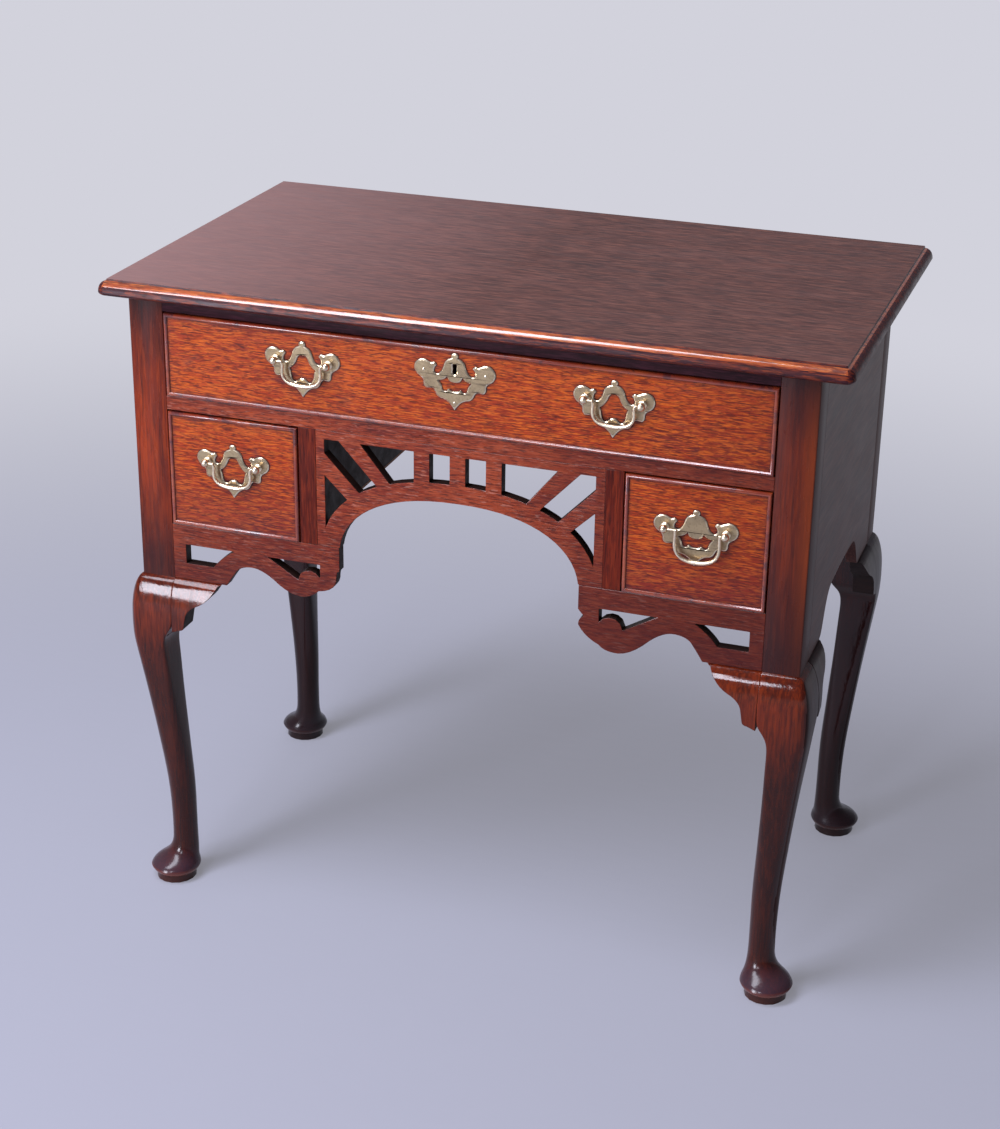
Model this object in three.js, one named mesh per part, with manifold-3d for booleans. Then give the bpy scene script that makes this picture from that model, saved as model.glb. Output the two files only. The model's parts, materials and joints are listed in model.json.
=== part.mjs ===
// Lowboy: an oak side table with one long and two small drawers over a pierced
// arched centre, on four cabriole legs with pad feet.
// Millimetres, +Z up, the front faces -Y, the origin is under the middle of the whole piece.
import * as THREE from 'three';
import Module from 'manifold-3d';
import { mergeVertices } from 'three/addons/utils/BufferGeometryUtils.js';

const wasm = await Module();
wasm.setup();

// Case and top
const overallHeight = 702;
const caseWidth = 714;
const caseDepth = 392;
const topThickness = 16;
const topOverhangFront = 11;
const topOverhangSide = 32;
const topOverhangBack = 43;
const topCornerRadius = 10;
const topMouldWidth = 9;
const topStepHeight = 2;
const topUnderRound = 3;

// Heights of the front, from the top down
const topRailHeight = 12;
const longOpeningHeight = 90;
const drawerRailHeight = 15;
const smallOpeningHeight = 127;
const apronHeight = 63;

// Case boards
const postWidth = 38;
const postOuterRound = 2;
const postEdgeRound = 0.6;
const frontBoardThickness = 12;
const railDepth = 46;
const sideThickness = 12;
const backThickness = 10;
const backDrop = 257;
const muntinWidth = 19;
const fretWidthShare = 3 / 7;
const partitionThickness = 8;
const partitionDrop = 118;
const tenonLength = 14;
const tenonThickness = 6;
const tenonShoulder = 6;
const jointClearance = 0.25;
const overrun = 1;

// Runners and kickers
const longRunnerWidth = 36;
const smallRunnerWidth = 22;
const smallRunnerHeight = 8;
const guideHeight = 12;
const kickerWidth = 24;

// Cabriole legs
const kneeReach = 14.4;
const kneeShoulderHeight = 46;
const kneeShoulderPower = 1.85;
const ankleRadius = 14;
const ankleHeight = 50;
const ankleShift = -4.2;
const footRadius = 25.6;
const footShift = 4.9;
const footWidestHeight = 15;
const discRadius = 20.5;
const discHeight = 7;

// Knee brackets
const bracketWidth = 55;
const bracketHeight = 59;
const bracketThickness = 24;

// Centre arch and piercings
const archFootWidth = 24;
const archSpring = 51;
const archRise = 79.5;
const archPower = 2.3;
const archBand = 20;
const fretBorder = 9.6;

// Shaped lower edge of the sides
const sideArchRise = 43;
const sideArchCamber = 3.5;
const sideArchRun = 50;

// Drawers
const gapSide = 1.2;
const gapTop = 1.8;
const runningGap = 0.3;
const drawerFrontThickness = 19;
const drawerSideThickness = 9;
const drawerBackThickness = 9;
const drawerBottomThickness = 6;
const drawerBottomRise = 7;
const grooveDepth = 5;
const grooveClearance = 0.15;
const drawerSideDrop = 3;
const drawerBackDrop = 4;
const drawerBackClearance = 12;
const tailLength = 12;
const tailSlope = 1 / 6;
const beadWidth = 4;
const beadProud = 2.4;
const beadDepth = 5;

// Brass handles
const plateThickness = 1.8;
const plateLobeX = 31.5;
const plateLobeRadius = 9.1;
const plateFinialHeight = 18;
const plateTipDrop = 40;
const wideLobeX = 33;
const ballRadius = 4.2;
const ballReach = 8;
const ballDrop = 2.8;
const ballSpacing = 57;
const wideBallSpacing = 61;
const postNeckRadius = 2.2;
const shankRadius = 1.8;
const shankClearance = 0.4;
const nutRadius = 4.6;
const nutThickness = 3;
const bailRadius = 1.8;
const bailDrop = 25.4;
const bailShoulder = 20.7;
const bailShift = 1.5;
const wideBailDrop = 32.8;
const wideBailShoulder = 22.3;
const wideBailShift = 3.4;
const bailPinRadius = 1;
const bailHoleRadius = 1.35;
const bailSideGap = 0.9;
const longBrassShift = -3;
const longHandleInset = 157;
const longHandleDrop = 31.8;
const smallHandleDrop = 47.6;

// Escutcheon and lock
const escutcheonDrop = 24.6;
const keyholeRadius = 2.4;
const keySlotWidth = 4;
const keySlotDrop = 3.4;
const keyholeRise = 5.6;
const lockWidth = 58;
const lockHeight = 44;
const lockThickness = 8;
const boltWidth = 16;
const boltThickness = 4;
const boltHeight = 20;
const boltTravel = 6;
const boltClearance = 0.4;

// Places that follow from the sizes
const topUnder = overallHeight - topThickness;
const longTop = topUnder - topRailHeight;
const longBottom = longTop - longOpeningHeight;
const smallTop = longBottom - drawerRailHeight;
const smallBottom = smallTop - smallOpeningHeight;
const ledge = smallBottom - apronHeight;
const caseRight = caseWidth / 2;
const postInner = caseRight - postWidth;
const frontReach = Math.max(kneeReach, topOverhangFront);
const frontY = (frontReach - caseDepth - topOverhangBack) / 2;
const backY = frontY + caseDepth;
const postBackY = frontY + postWidth;
const rearPostY = backY - postWidth;
const backBoardY = backY - backThickness;
const railBackY = frontY + railDepth;
const boardBackY = frontY + frontBoardThickness;
const fretWidth = caseWidth * fretWidthShare;
const archHalfWidth = fretWidth / 2 - archFootWidth;
const muntinInner = fretWidth / 2;
const muntinOuter = muntinInner + muntinWidth;
const drawerBackY = backBoardY - drawerBackClearance;

// Colours and finishes
const finish = (color, roughness, metalness) =>
  new THREE.MeshStandardMaterial({ color, roughness, metalness });
const topOak = finish(0x4a3230, 0.35, 0);
const caseOak = finish(0x6b2e1c, 0.4, 0);
const sideOak = finish(0x3b2a2a, 0.45, 0);
const legOak = finish(0x4a1f18, 0.35, 0);
const frontOak = finish(0x9a4420, 0.4, 0);
const innerOak = finish(0x7c5a3c, 0.75, 0);
const brass = finish(0x9a8c62, 0.35, 0.9);
const iron = finish(0x4a4642, 0.6, 0.7);

// Solids
const solid = (geometry) => {
  geometry.deleteAttribute('normal');
  geometry.deleteAttribute('uv');
  const merged = mergeVertices(geometry);
  return new wasm.Manifold(new wasm.Mesh({
    numProp: 3,
    vertProperties: new Float32Array(merged.attributes.position.array),
    triVerts: new Uint32Array(merged.index.array),
  }));
};

const geometryOf = (body) => {
  const mesh = body.getMesh();
  const geometry = new THREE.BufferGeometry();
  geometry.setAttribute('position', new THREE.BufferAttribute(mesh.vertProperties, 3));
  geometry.setIndex(new THREE.BufferAttribute(mesh.triVerts, 1));
  const faceted = geometry.toNonIndexed();
  faceted.computeVertexNormals();
  return faceted;
};

const moved = (geometry, place) => {
  const points = geometry.attributes.position;
  for (let i = 0; i < points.count; i += 1) {
    points.setXYZ(i, ...place(points.getX(i), points.getY(i), points.getZ(i)));
  }
  return geometry;
};

const between = (low, high) => (share) => (share > 0 ? high : low);

const block = ([x0, x1], [y0, y1], [z0, z1]) => {
  const [x, y, z] = [between(x0, x1), between(y0, y1), between(z0, z1)];
  return solid(moved(new THREE.BoxGeometry(), (a, b, c) => [x(a), y(b), z(c)]));
};

const extruded = (shape, curveSegments) =>
  new THREE.ExtrudeGeometry(shape, { depth: 1, bevelEnabled: false, curveSegments });

// An outline in X and Z, carried along Y
const frontPrism = (shape, [y0, y1], curveSegments = 8) =>
  solid(moved(extruded(shape, curveSegments), (x, z, t) => [x, t > 0 ? y0 : y1, z]));

// An outline in Y and Z, carried along X
const sidePrism = (shape, [x0, x1], curveSegments = 8) =>
  solid(moved(extruded(shape, curveSegments), (y, z, t) => [t > 0 ? x1 : x0, y, z]));

const polygon = (points) => new THREE.Shape(points.map(([x, y]) => new THREE.Vector2(x, y)));

const mirroredX = (body) => body.mirror([1, 0, 0]);

const group = new THREE.Group();
group.name = 'lowboy';

const add = (name, body, material) => {
  const mesh = new THREE.Mesh(geometryOf(body), material);
  mesh.name = name;
  group.add(mesh);
};

const addPair = (name, rightBody, material) => {
  add(`left_${name}`, mirroredX(rightBody), material);
  add(`right_${name}`, rightBody, material);
};

// Rings of equal length, lowest first, joined into one closed body
const loft = (rings) => {
  const count = rings[0].length;
  const positions = rings.flat(2);
  const indices = [];
  for (let r = 0; r + 1 < rings.length; r += 1) {
    for (let k = 0; k < count; k += 1) {
      const a = r * count + k;
      const b = r * count + ((k + 1) % count);
      indices.push(a, b, b + count, a, b + count, a + count);
    }
  }
  for (let k = 1; k + 1 < count; k += 1) {
    const last = (rings.length - 1) * count;
    indices.push(0, k + 1, k, last, last + k, last + k + 1);
  }
  const geometry = new THREE.BufferGeometry();
  geometry.setAttribute('position', new THREE.Float32BufferAttribute(positions, 3));
  geometry.setIndex(indices);
  return solid(geometry);
};

// Top board, thumb-moulded on its front and both ends
const topCornerSteps = 5;
const topRing = (z, inset) => {
  const halfWidth = caseRight + topOverhangSide;
  const radius = Math.max(topCornerRadius - inset, postEdgeRound);
  const centreX = halfWidth - Math.max(topCornerRadius, inset + radius);
  const centreY = frontY - topOverhangFront + Math.max(topCornerRadius, inset + radius);
  const right = [];
  for (let k = 0; k <= topCornerSteps; k += 1) {
    const angle = (k / topCornerSteps) * (Math.PI / 2);
    right.push([centreX + radius * Math.sin(angle), centreY - radius * Math.cos(angle), z]);
  }
  const left = right.map(([x, y]) => [-x, y, z]).reverse();
  const rearY = backY + topOverhangBack;
  return [[-halfWidth + inset, rearY, z], ...left, ...right, [halfWidth - inset, rearY, z]];
};

const makeTop = () => {
  const stepZ = overallHeight - topStepHeight;
  const roundTop = topUnder + topUnderRound;
  const rings = [
    topRing(topUnder, topUnderRound),
    topRing((topUnder + roundTop) / 2, topUnderRound / 4),
    topRing(roundTop, 0),
  ];
  const steps = 5;
  for (let k = 1; k <= steps; k += 1) {
    const angle = (k / steps) * (Math.PI / 2);
    const z = roundTop + (stepZ - roundTop) * Math.sin(angle);
    rings.push(topRing(z, topMouldWidth * (1 - Math.cos(angle))));
  }
  rings.push(topRing(overallHeight, topMouldWidth + topStepHeight / 4));
  return loft(rings);
};
add('top', makeTop(), topOak);

// Mortises that the tenons of the case boards go into, right side only
const tenons = [];
const tenon = (x, y, z) => {
  const grow = ([low, high]) => [low - jointClearance, high + jointClearance];
  tenons.push(block(grow(x), grow(y), grow(z)));
  return block(x, y, z);
};

// Side boards: shaped between the brackets, tenoned into the posts
const makeSide = () => {
  const middleY = (frontY + backY) / 2;
  const halfRun = (rearPostY - postBackY) / 2;
  const archEnd = halfRun - bracketWidth;
  const archTop = ledge + sideArchRise;
  const shape = new THREE.Shape();
  shape.moveTo(middleY - halfRun, ledge);
  shape.lineTo(middleY - archEnd, ledge);
  shape.bezierCurveTo(
    middleY - archEnd + sideArchRun / 3, ledge,
    middleY - archEnd + sideArchRun / 3, archTop,
    middleY - archEnd + sideArchRun, archTop,
  );
  shape.quadraticCurveTo(
    middleY, archTop + sideArchCamber,
    middleY + archEnd - sideArchRun, archTop,
  );
  shape.bezierCurveTo(
    middleY + archEnd - sideArchRun / 3, archTop,
    middleY + archEnd - sideArchRun / 3, ledge,
    middleY + archEnd, ledge,
  );
  shape.lineTo(middleY + halfRun, ledge);
  shape.lineTo(middleY + halfRun, topUnder);
  shape.lineTo(middleY - halfRun, topUnder);
  let body = sidePrism(shape, [caseRight - sideThickness, caseRight]);
  const tenonX = [caseRight - sideThickness, caseRight - tenonShoulder];
  const middleZ = (ledge + topUnder) / 2;
  const spans = [
    [ledge + 2 * tenonShoulder, middleZ - 2 * tenonShoulder],
    [middleZ + 2 * tenonShoulder, topUnder - 2 * tenonShoulder],
  ];
  spans.forEach((z) => {
    body = body.add(tenon(tenonX, [postBackY - tenonLength, postBackY], z));
    body = body.add(tenon(tenonX, [rearPostY, rearPostY + tenonLength], z));
  });
  return body;
};
addPair('side', makeSide(), sideOak);

// Back board between the rear posts
const backBottom = topUnder - backDrop;
const makeBack = () => {
  const tenonY = [backBoardY, backBoardY + tenonThickness];
  const tenonZ = [backBottom + 2 * tenonShoulder, topUnder - 2 * tenonShoulder];
  const right = tenon([postInner, postInner + tenonLength / 2], tenonY, tenonZ);
  return block([-postInner, postInner], [backBoardY, backY], [backBottom, topUnder])
    .add(right)
    .add(mirroredX(right));
};
add('back_board', makeBack(), innerOak);

// Front rails, tenoned into the posts
const makeRail = (z0, z1) => {
  const inset = (z1 - z0) / 5;
  const tenonY = [frontY + tenonShoulder, frontY + tenonShoulder + tenonThickness];
  const right = tenon([postInner, postInner + tenonLength], tenonY, [z0 + inset, z1 - inset]);
  return block([-postInner, postInner], [frontY, railBackY], [z0, z1])
    .add(right)
    .add(mirroredX(right))
    .subtract(block(
      [postInner - longRunnerWidth, caseRight],
      [postBackY, railBackY + overrun],
      [z0 - overrun, z1 + overrun],
    ))
    .subtract(block(
      [-caseRight, longRunnerWidth - postInner],
      [postBackY, railBackY + overrun],
      [z0 - overrun, z1 + overrun],
    ));
};
const frontTenonY = [frontY + tenonShoulder / 2, frontY + tenonShoulder / 2 + tenonThickness];

// Lock bolt's mortise in the top rail
const boltX = [longBrassShift - boltWidth / 2, longBrassShift + boltWidth / 2];
const boltBackY = frontY + drawerFrontThickness - boltClearance - boltThickness / 2;
const boltY = [boltBackY - boltThickness, boltBackY];
const grown = ([low, high], by) => [low - by, high + by];
const strikeHeight = boltTravel + 2 * overrun;
const strike = block(
  grown(boltX, 2 * boltClearance),
  grown(boltY, 2 * boltClearance),
  [longTop - overrun, longTop - overrun + strikeHeight],
);
add('top_rail', makeRail(longTop, topUnder).subtract(strike), caseOak);
add('drawer_rail', makeRail(smallTop, longBottom), caseOak);

// Muntins stand between the aprons and the drawer rail
addPair('muntin', block(
  [muntinInner, muntinOuter],
  [frontY, boardBackY],
  [smallBottom, smallTop],
), caseOak);

// Arch of the centre, grown by a band for the ribs above it
const archSteps = 16;
const archShape = (band) => {
  const half = archHalfWidth + band;
  const spring = ledge + archSpring;
  const points = [];
  for (let k = 0; k <= archSteps; k += 1) {
    const angle = (k / archSteps) * (Math.PI / 2);
    points.push([
      half * Math.cos(angle) ** (2 / archPower),
      spring + (archRise + band) * Math.sin(angle) ** (2 / archPower),
    ]);
  }
  const left = points.slice(0, -1).map(([x, z]) => [-x, z]).reverse();
  return polygon([[half, ledge - apronHeight], ...points, ...left, [-half, ledge - apronHeight]]);
};
const boardCut = [frontY - overrun, boardBackY + overrun];
const archCut = frontPrism(archShape(0), boardCut);
const archKeep = frontPrism(archShape(archBand), boardCut);

// Fret panel: piercings fall between the border, the diagonal ribs and the arch's band.
// Each outline is in shares of the panel's half width and height, on its right half.
const fretPiercingShares = [
  [[0.055, 0], [0.195, 0], [0.195, 1], [0.055, 1]],
  [[0.305, 0.4], [0.305, 1], [0.732, 1], [0.325, 0.4]],
  [[0.425, 0.4], [0.895, 1], [1, 1], [1, 0.887], [0.568, 0.35]],
  [[0.664, 0.3], [1, 0.687], [1, 0], [0.664, 0]],
];
const makeFret = () => {
  const height = smallTop - smallBottom;
  let panel = block([-muntinInner, muntinInner], [frontY, boardBackY], [smallBottom, smallTop]);
  const field = block(
    [fretBorder - muntinInner, muntinInner - fretBorder],
    boardCut,
    [smallBottom, smallTop - fretBorder],
  );
  fretPiercingShares.forEach((shares) => {
    const outline = shares.map(([x, z]) => [x * muntinInner, smallBottom + z * height]);
    const right = frontPrism(polygon(outline), boardCut).intersect(field).subtract(archKeep);
    panel = panel.subtract(right).subtract(mirroredX(right));
  });
  return panel.subtract(archCut);
};
add('fret_panel', makeFret(), caseOak);

// Aprons below the small drawers, in shares of the run from arch to post and of the height
const apronRun = postInner - archHalfWidth;
const apronPoint = ([across, up]) => [archHalfWidth + across * apronRun, ledge + up * apronHeight];
const lobeShares = {
  left: [
    [0.395, 0.24],
    [[0.31, 0.02], [0.235, 0.017]],
    [[0.17, 0.02], [0.128, 0.16]],
    [[0.03, 0.2], [0.02, 0.4]],
    [[0.02, 0.5], [0.012, 0.56]],
  ],
  right: [
    [0.395, 0.214],
    [[0.3, -0.08], [0.225, -0.094]],
    [[0.15, -0.1], [0.118, 0.01]],
    [[0.04, 0.11], [0.003, 0.31]],
    [[0.002, 0.42], [0.032, 0.473]],
  ],
};
const makeApron = ([joinShare, ...lobes]) => {
  const shape = new THREE.Shape();
  const at = (share) => apronPoint(share);
  const curve = (control, end) => shape.quadraticCurveTo(...at(control), ...at(end));
  shape.moveTo(...at([1, 0]));
  shape.lineTo(...at([0.682, 0]));
  curve([0.65, 0.16], [0.613, 0.31]);
  curve([0.575, 0.41], [0.511, 0.397]);
  curve([0.458, 0.38], joinShare);
  lobes.forEach(([control, end]) => curve(control, end));
  shape.lineTo(...at([0, 0.58]));
  shape.lineTo(...at([0, 1]));
  shape.lineTo(...at([1, 1]));
  const outer = new THREE.Shape();
  outer.moveTo(...at([0.924, 0.3]));
  outer.lineTo(...at([0.924, 0.64]));
  outer.lineTo(...at([0.632, 0.64]));
  outer.quadraticCurveTo(...at([0.72, 0.47]), ...at([0.758, 0.3]));
  const inner = new THREE.Shape();
  inner.moveTo(...at([0.116, 0.64]));
  inner.lineTo(...at([0.116, 0.413]));
  inner.bezierCurveTo(...at([0.15, 0.56]), ...at([0.235, 0.56]), ...at([0.247, 0.322]));
  inner.lineTo(...at([0.426, 0.64]));
  const tenonZ = [ledge + 2 * tenonShoulder, smallBottom - 2 * tenonShoulder];
  return frontPrism(shape, [frontY, boardBackY], 5)
    .subtract(frontPrism(outer, boardCut, 5))
    .subtract(frontPrism(inner, boardCut, 5))
    .subtract(archCut)
    .add(tenon([postInner, postInner + tenonLength], frontTenonY, tenonZ));
};
add('left_apron', mirroredX(makeApron(lobeShares.left)), caseOak);
add('right_apron', makeApron(lobeShares.right), caseOak);

// Partitions guide the small drawers beside the open centre
const partitionX = [
  muntinOuter - gapSide - partitionThickness,
  muntinOuter - gapSide,
];
addPair('partition', block(
  partitionX,
  [boardBackY, backBoardY],
  [smallTop - partitionDrop, smallTop],
), innerOak);

// Runners carry the drawers, kickers keep the long one from tipping
const sideInner = caseRight - sideThickness;
const makeLongRunner = () => {
  const runner = block(
    [postInner - longRunnerWidth + jointClearance, sideInner],
    [postBackY + jointClearance, backBoardY],
    [smallTop, longBottom],
  );
  const guide = block(
    [postInner - gapSide + runningGap, sideInner],
    [postBackY + jointClearance, rearPostY],
    [longBottom - overrun, longBottom + guideHeight],
  );
  const postNotch = block(
    [postInner - jointClearance, caseRight],
    [rearPostY - jointClearance, backY],
    [smallTop - overrun, longBottom + guideHeight + overrun],
  );
  return runner.add(guide).subtract(postNotch);
};
addPair('long_runner', makeLongRunner(), innerOak);

const makeOuterRunner = () => {
  const body = block(
    [postInner - smallRunnerWidth, sideInner],
    [boardBackY, backBoardY],
    [smallBottom - smallRunnerHeight, smallBottom],
  );
  const guide = block(
    [postInner - gapSide + runningGap, sideInner],
    [postBackY + jointClearance, rearPostY],
    [smallBottom - overrun, smallBottom + guideHeight],
  );
  const notch = (y) => block(
    [postInner - jointClearance, caseRight],
    y,
    [smallBottom - smallRunnerHeight - overrun, smallBottom + overrun],
  );
  return body
    .add(guide)
    .subtract(notch([frontY, postBackY + jointClearance]))
    .subtract(notch([rearPostY - jointClearance, backY]));
};
addPair('outer_runner', makeOuterRunner(), innerOak);

const innerRunnerX = muntinOuter + drawerSideThickness / 2;
addPair('inner_runner', block(
  [innerRunnerX, innerRunnerX + smallRunnerWidth],
  [boardBackY, backBoardY],
  [smallBottom - smallRunnerHeight, smallBottom],
), innerOak);

addPair('kicker', block(
  [postInner - kickerWidth, postInner],
  [railBackY, backBoardY],
  [longTop, topUnder],
), innerOak);

// Knee shoulder: how far the knee stands proud of the post at a height
const shoulderStart = ledge - kneeShoulderHeight;
const kneeProud = (z) => {
  const t = Math.min(Math.max((z - shoulderStart) / kneeShoulderHeight, 0), 1);
  return kneeReach * (1 - t ** kneeShoulderPower) ** (1 / kneeShoulderPower);
};

// One section of a leg, round the leg's own axis: the outer corner points to +X +Y.
// outerRound and sideRound are corner radii in shares of the half width.
const cornerSteps = 4;
const legRing = (z, shift, half, outerRound, sideRound) => {
  const corners = [[1, 1], [-1, 1], [-1, -1], [1, -1]];
  return corners.flatMap(([sx, sy], corner) => {
    const radius = half * (corner === 0 ? outerRound : sideRound);
    return Array.from({ length: cornerSteps }, (_, k) => {
      const angle = (corner + (k + 0.5) / cornerSteps) * (Math.PI / 2);
      return [
        shift + sx * (half - radius) + radius * Math.cos(angle),
        shift + sy * (half - radius) + radius * Math.sin(angle),
        z,
      ];
    });
  });
};

// From ankle to knee: height, shift, half width and corners in shares
const shinShares = [
  [0, 0, 0, 1, 1],
  [0.09, 0, 0.01, 1, 1],
  [0.21, 0.07, 0.08, 1, 0.95],
  [0.33, 0.36, 0.13, 0.95, 0.8],
  [0.45, 0.64, 0.19, 0.85, 0.6],
  [0.57, 0.95, 0.26, 0.75, 0.4],
  [0.69, 1.25, 0.39, 0.68, 0.25],
  [0.74, 1.39, 0.43, 0.65, 0.2],
  [0.775, 1.44, 0.49, 0.62, 0.16],
  [0.802, 1.34, 0.63, 0.6, 0.12],
  [0.827, 1.1, 0.9, 0.58, 0.08],
  [0.846, 1, 1, 0.56, 0.06],
];
// From disc to ankle: height and growth in shares of the foot's size over the ankle
const footShares = [[0.44, 0.91], [0.55, 0.7], [0.67, 0.33], [0.76, 0.12], [0.88, 0.02]];
const footUndersideShares = [[0.05, 0.35], [0.4, 0.85]];
const legRings = () => {
  const rings = [
    legRing(0, footShift, discRadius, 1, 1),
    legRing(discHeight, footShift, discRadius, 1, 1),
  ];
  footUndersideShares.forEach(([up, growth]) => {
    const z = discHeight + up * (footWidestHeight - discHeight);
    rings.push(legRing(z, footShift, discRadius + growth * (footRadius - discRadius), 1, 1));
  });
  rings.push(legRing(footWidestHeight, footShift, footRadius, 1, 1));
  footShares.forEach(([up, growth]) => {
    const shift = ankleShift + growth * (footShift - ankleShift);
    const half = ankleRadius + growth * (footRadius - ankleRadius);
    rings.push(legRing(up * ankleHeight, shift, half, 1, 1));
  });
  const kneeShift = kneeReach / 2;
  const kneeHalf = (postWidth + kneeReach) / 2;
  shinShares.forEach(([up, shift, grow, outerRound, sideRound]) => {
    rings.push(legRing(
      ankleHeight + up * (ledge - ankleHeight),
      ankleShift + shift * (kneeShift - ankleShift),
      ankleRadius + grow * (kneeHalf - ankleRadius),
      outerRound,
      sideRound,
    ));
  });
  const shoulderSteps = 7;
  const edgeRound = postEdgeRound / (postWidth / 2);
  for (let k = 1; k < shoulderSteps; k += 1) {
    const t = Math.sin((k / shoulderSteps) * (Math.PI / 2));
    const z = shoulderStart + t * kneeShoulderHeight;
    const proud = kneeProud(z);
    const share = proud / kneeReach;
    rings.push(legRing(
      z, proud / 2, (postWidth + proud) / 2, 0.1 + 0.45 * share, edgeRound,
    ));
  }
  const outerRound = postOuterRound / (postWidth / 2);
  rings.push(legRing(ledge, 0, postWidth / 2, outerRound, edgeRound));
  rings.push(legRing(topUnder, 0, postWidth / 2, outerRound, edgeRound));
  return rings;
};

const legCentreX = caseRight - postWidth / 2;
const rearLeg = loft(legRings()).translate([legCentreX, backY - postWidth / 2, 0]);
const frontLeg = loft(legRings())
  .mirror([0, 1, 0])
  .translate([legCentreX, frontY + postWidth / 2, 0]);
const mortised = (leg) => tenons.reduce((body, hole) => body.subtract(hole), leg);
const rightFrontLeg = mortised(frontLeg);
const rightRearLeg = mortised(rearLeg);
addPair('front_leg', rightFrontLeg, legOak);
addPair('rear_leg', rightRearLeg, legOak);

// Knee brackets carry the knee's shoulder sideways under the apron and the sides
const bracketOutline = (start, direction) => {
  const at = ([along, down]) => [
    start + direction * along * bracketWidth,
    ledge - down * bracketHeight,
  ];
  const shape = new THREE.Shape();
  shape.moveTo(...at([0, 0]));
  shape.lineTo(...at([1, 0]));
  shape.lineTo(...at([0.93, 0.03]));
  shape.quadraticCurveTo(...at([0.8, 0.3]), ...at([0.56, 0.41]));
  shape.quadraticCurveTo(...at([0.31, 0.51]), ...at([0.29, 0.69]));
  shape.lineTo(...at([0.255, 0.88]));
  shape.quadraticCurveTo(...at([0.24, 0.935]), ...at([0.155, 0.94]));
  shape.lineTo(...at([0, 1]));
  return shape;
};

// Section through the shoulder: proud of the face outwards, flat behind
const shoulderOutline = (face, outwards) => {
  const steps = 9;
  const bottom = ledge - bracketHeight;
  const points = [];
  for (let k = 0; k <= steps; k += 1) {
    const t = Math.sin((k / steps) * (Math.PI / 2));
    const z = shoulderStart + t * kneeShoulderHeight;
    points.push([face + outwards * kneeProud(z), z]);
  }
  const behind = face + outwards * (kneeReach - bracketThickness);
  return polygon([
    [behind, bottom - overrun],
    [face + outwards * kneeReach, bottom - overrun],
    ...points,
    [behind, ledge],
  ]);
};
const bracketSpan = bracketWidth + overrun;
const frontBracket = frontPrism(
  bracketOutline(postInner, -1), grown([frontY, frontY], bracketThickness), 6,
).intersect(sidePrism(
  shoulderOutline(frontY, -1), [postInner - bracketSpan, postInner + overrun],
));
addPair('front_bracket', frontBracket, legOak);

const sideBracket = (start, direction) => sidePrism(
  bracketOutline(start, direction), grown([caseRight, caseRight], bracketThickness), 6,
).intersect(frontPrism(
  shoulderOutline(caseRight, 1), grown([start, start], bracketSpan),
));
addPair('front_side_bracket', sideBracket(postBackY, 1), legOak);
addPair('rear_side_bracket', sideBracket(rearPostY, -1), legOak);

// A frame of one section, mitred round a rectangle in X and Z
const frameSweep = (section, [x0, x1], [z0, z1]) => {
  const rings = section.map(([inset, y]) => [
    [x0 + inset, y, z0 + inset],
    [x1 - inset, y, z0 + inset],
    [x1 - inset, y, z1 - inset],
    [x0 + inset, y, z1 - inset],
  ]);
  const count = rings[0].length;
  const indices = [];
  rings.forEach((ring, r) => {
    const next = ((r + 1) % rings.length) * count;
    for (let k = 0; k < count; k += 1) {
      const a = r * count + k;
      const b = r * count + ((k + 1) % count);
      const c = next + ((k + 1) % count);
      const d = next + k;
      indices.push(a, b, c, a, c, d);
    }
  });
  const geometry = new THREE.BufferGeometry();
  geometry.setAttribute('position', new THREE.Float32BufferAttribute(rings.flat(2), 3));
  geometry.setIndex(indices);
  return solid(geometry);
};

// Dovetail tails on a drawer side: each widens by tailSlope towards its end
const tailPrism = (rootY, direction, length, centreZ, halfRoot, x, grow) => {
  const root = halfRoot + grow - tailSlope * overrun;
  const tip = halfRoot + grow + tailSlope * (length + grow);
  const end = rootY + direction * (length + grow);
  const start = rootY - direction * overrun;
  return sidePrism(polygon([
    [start, centreZ - root],
    [end, centreZ - tip],
    [end, centreZ + tip],
    [start, centreZ + root],
  ].sort(() => 0)), x);
};

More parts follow.
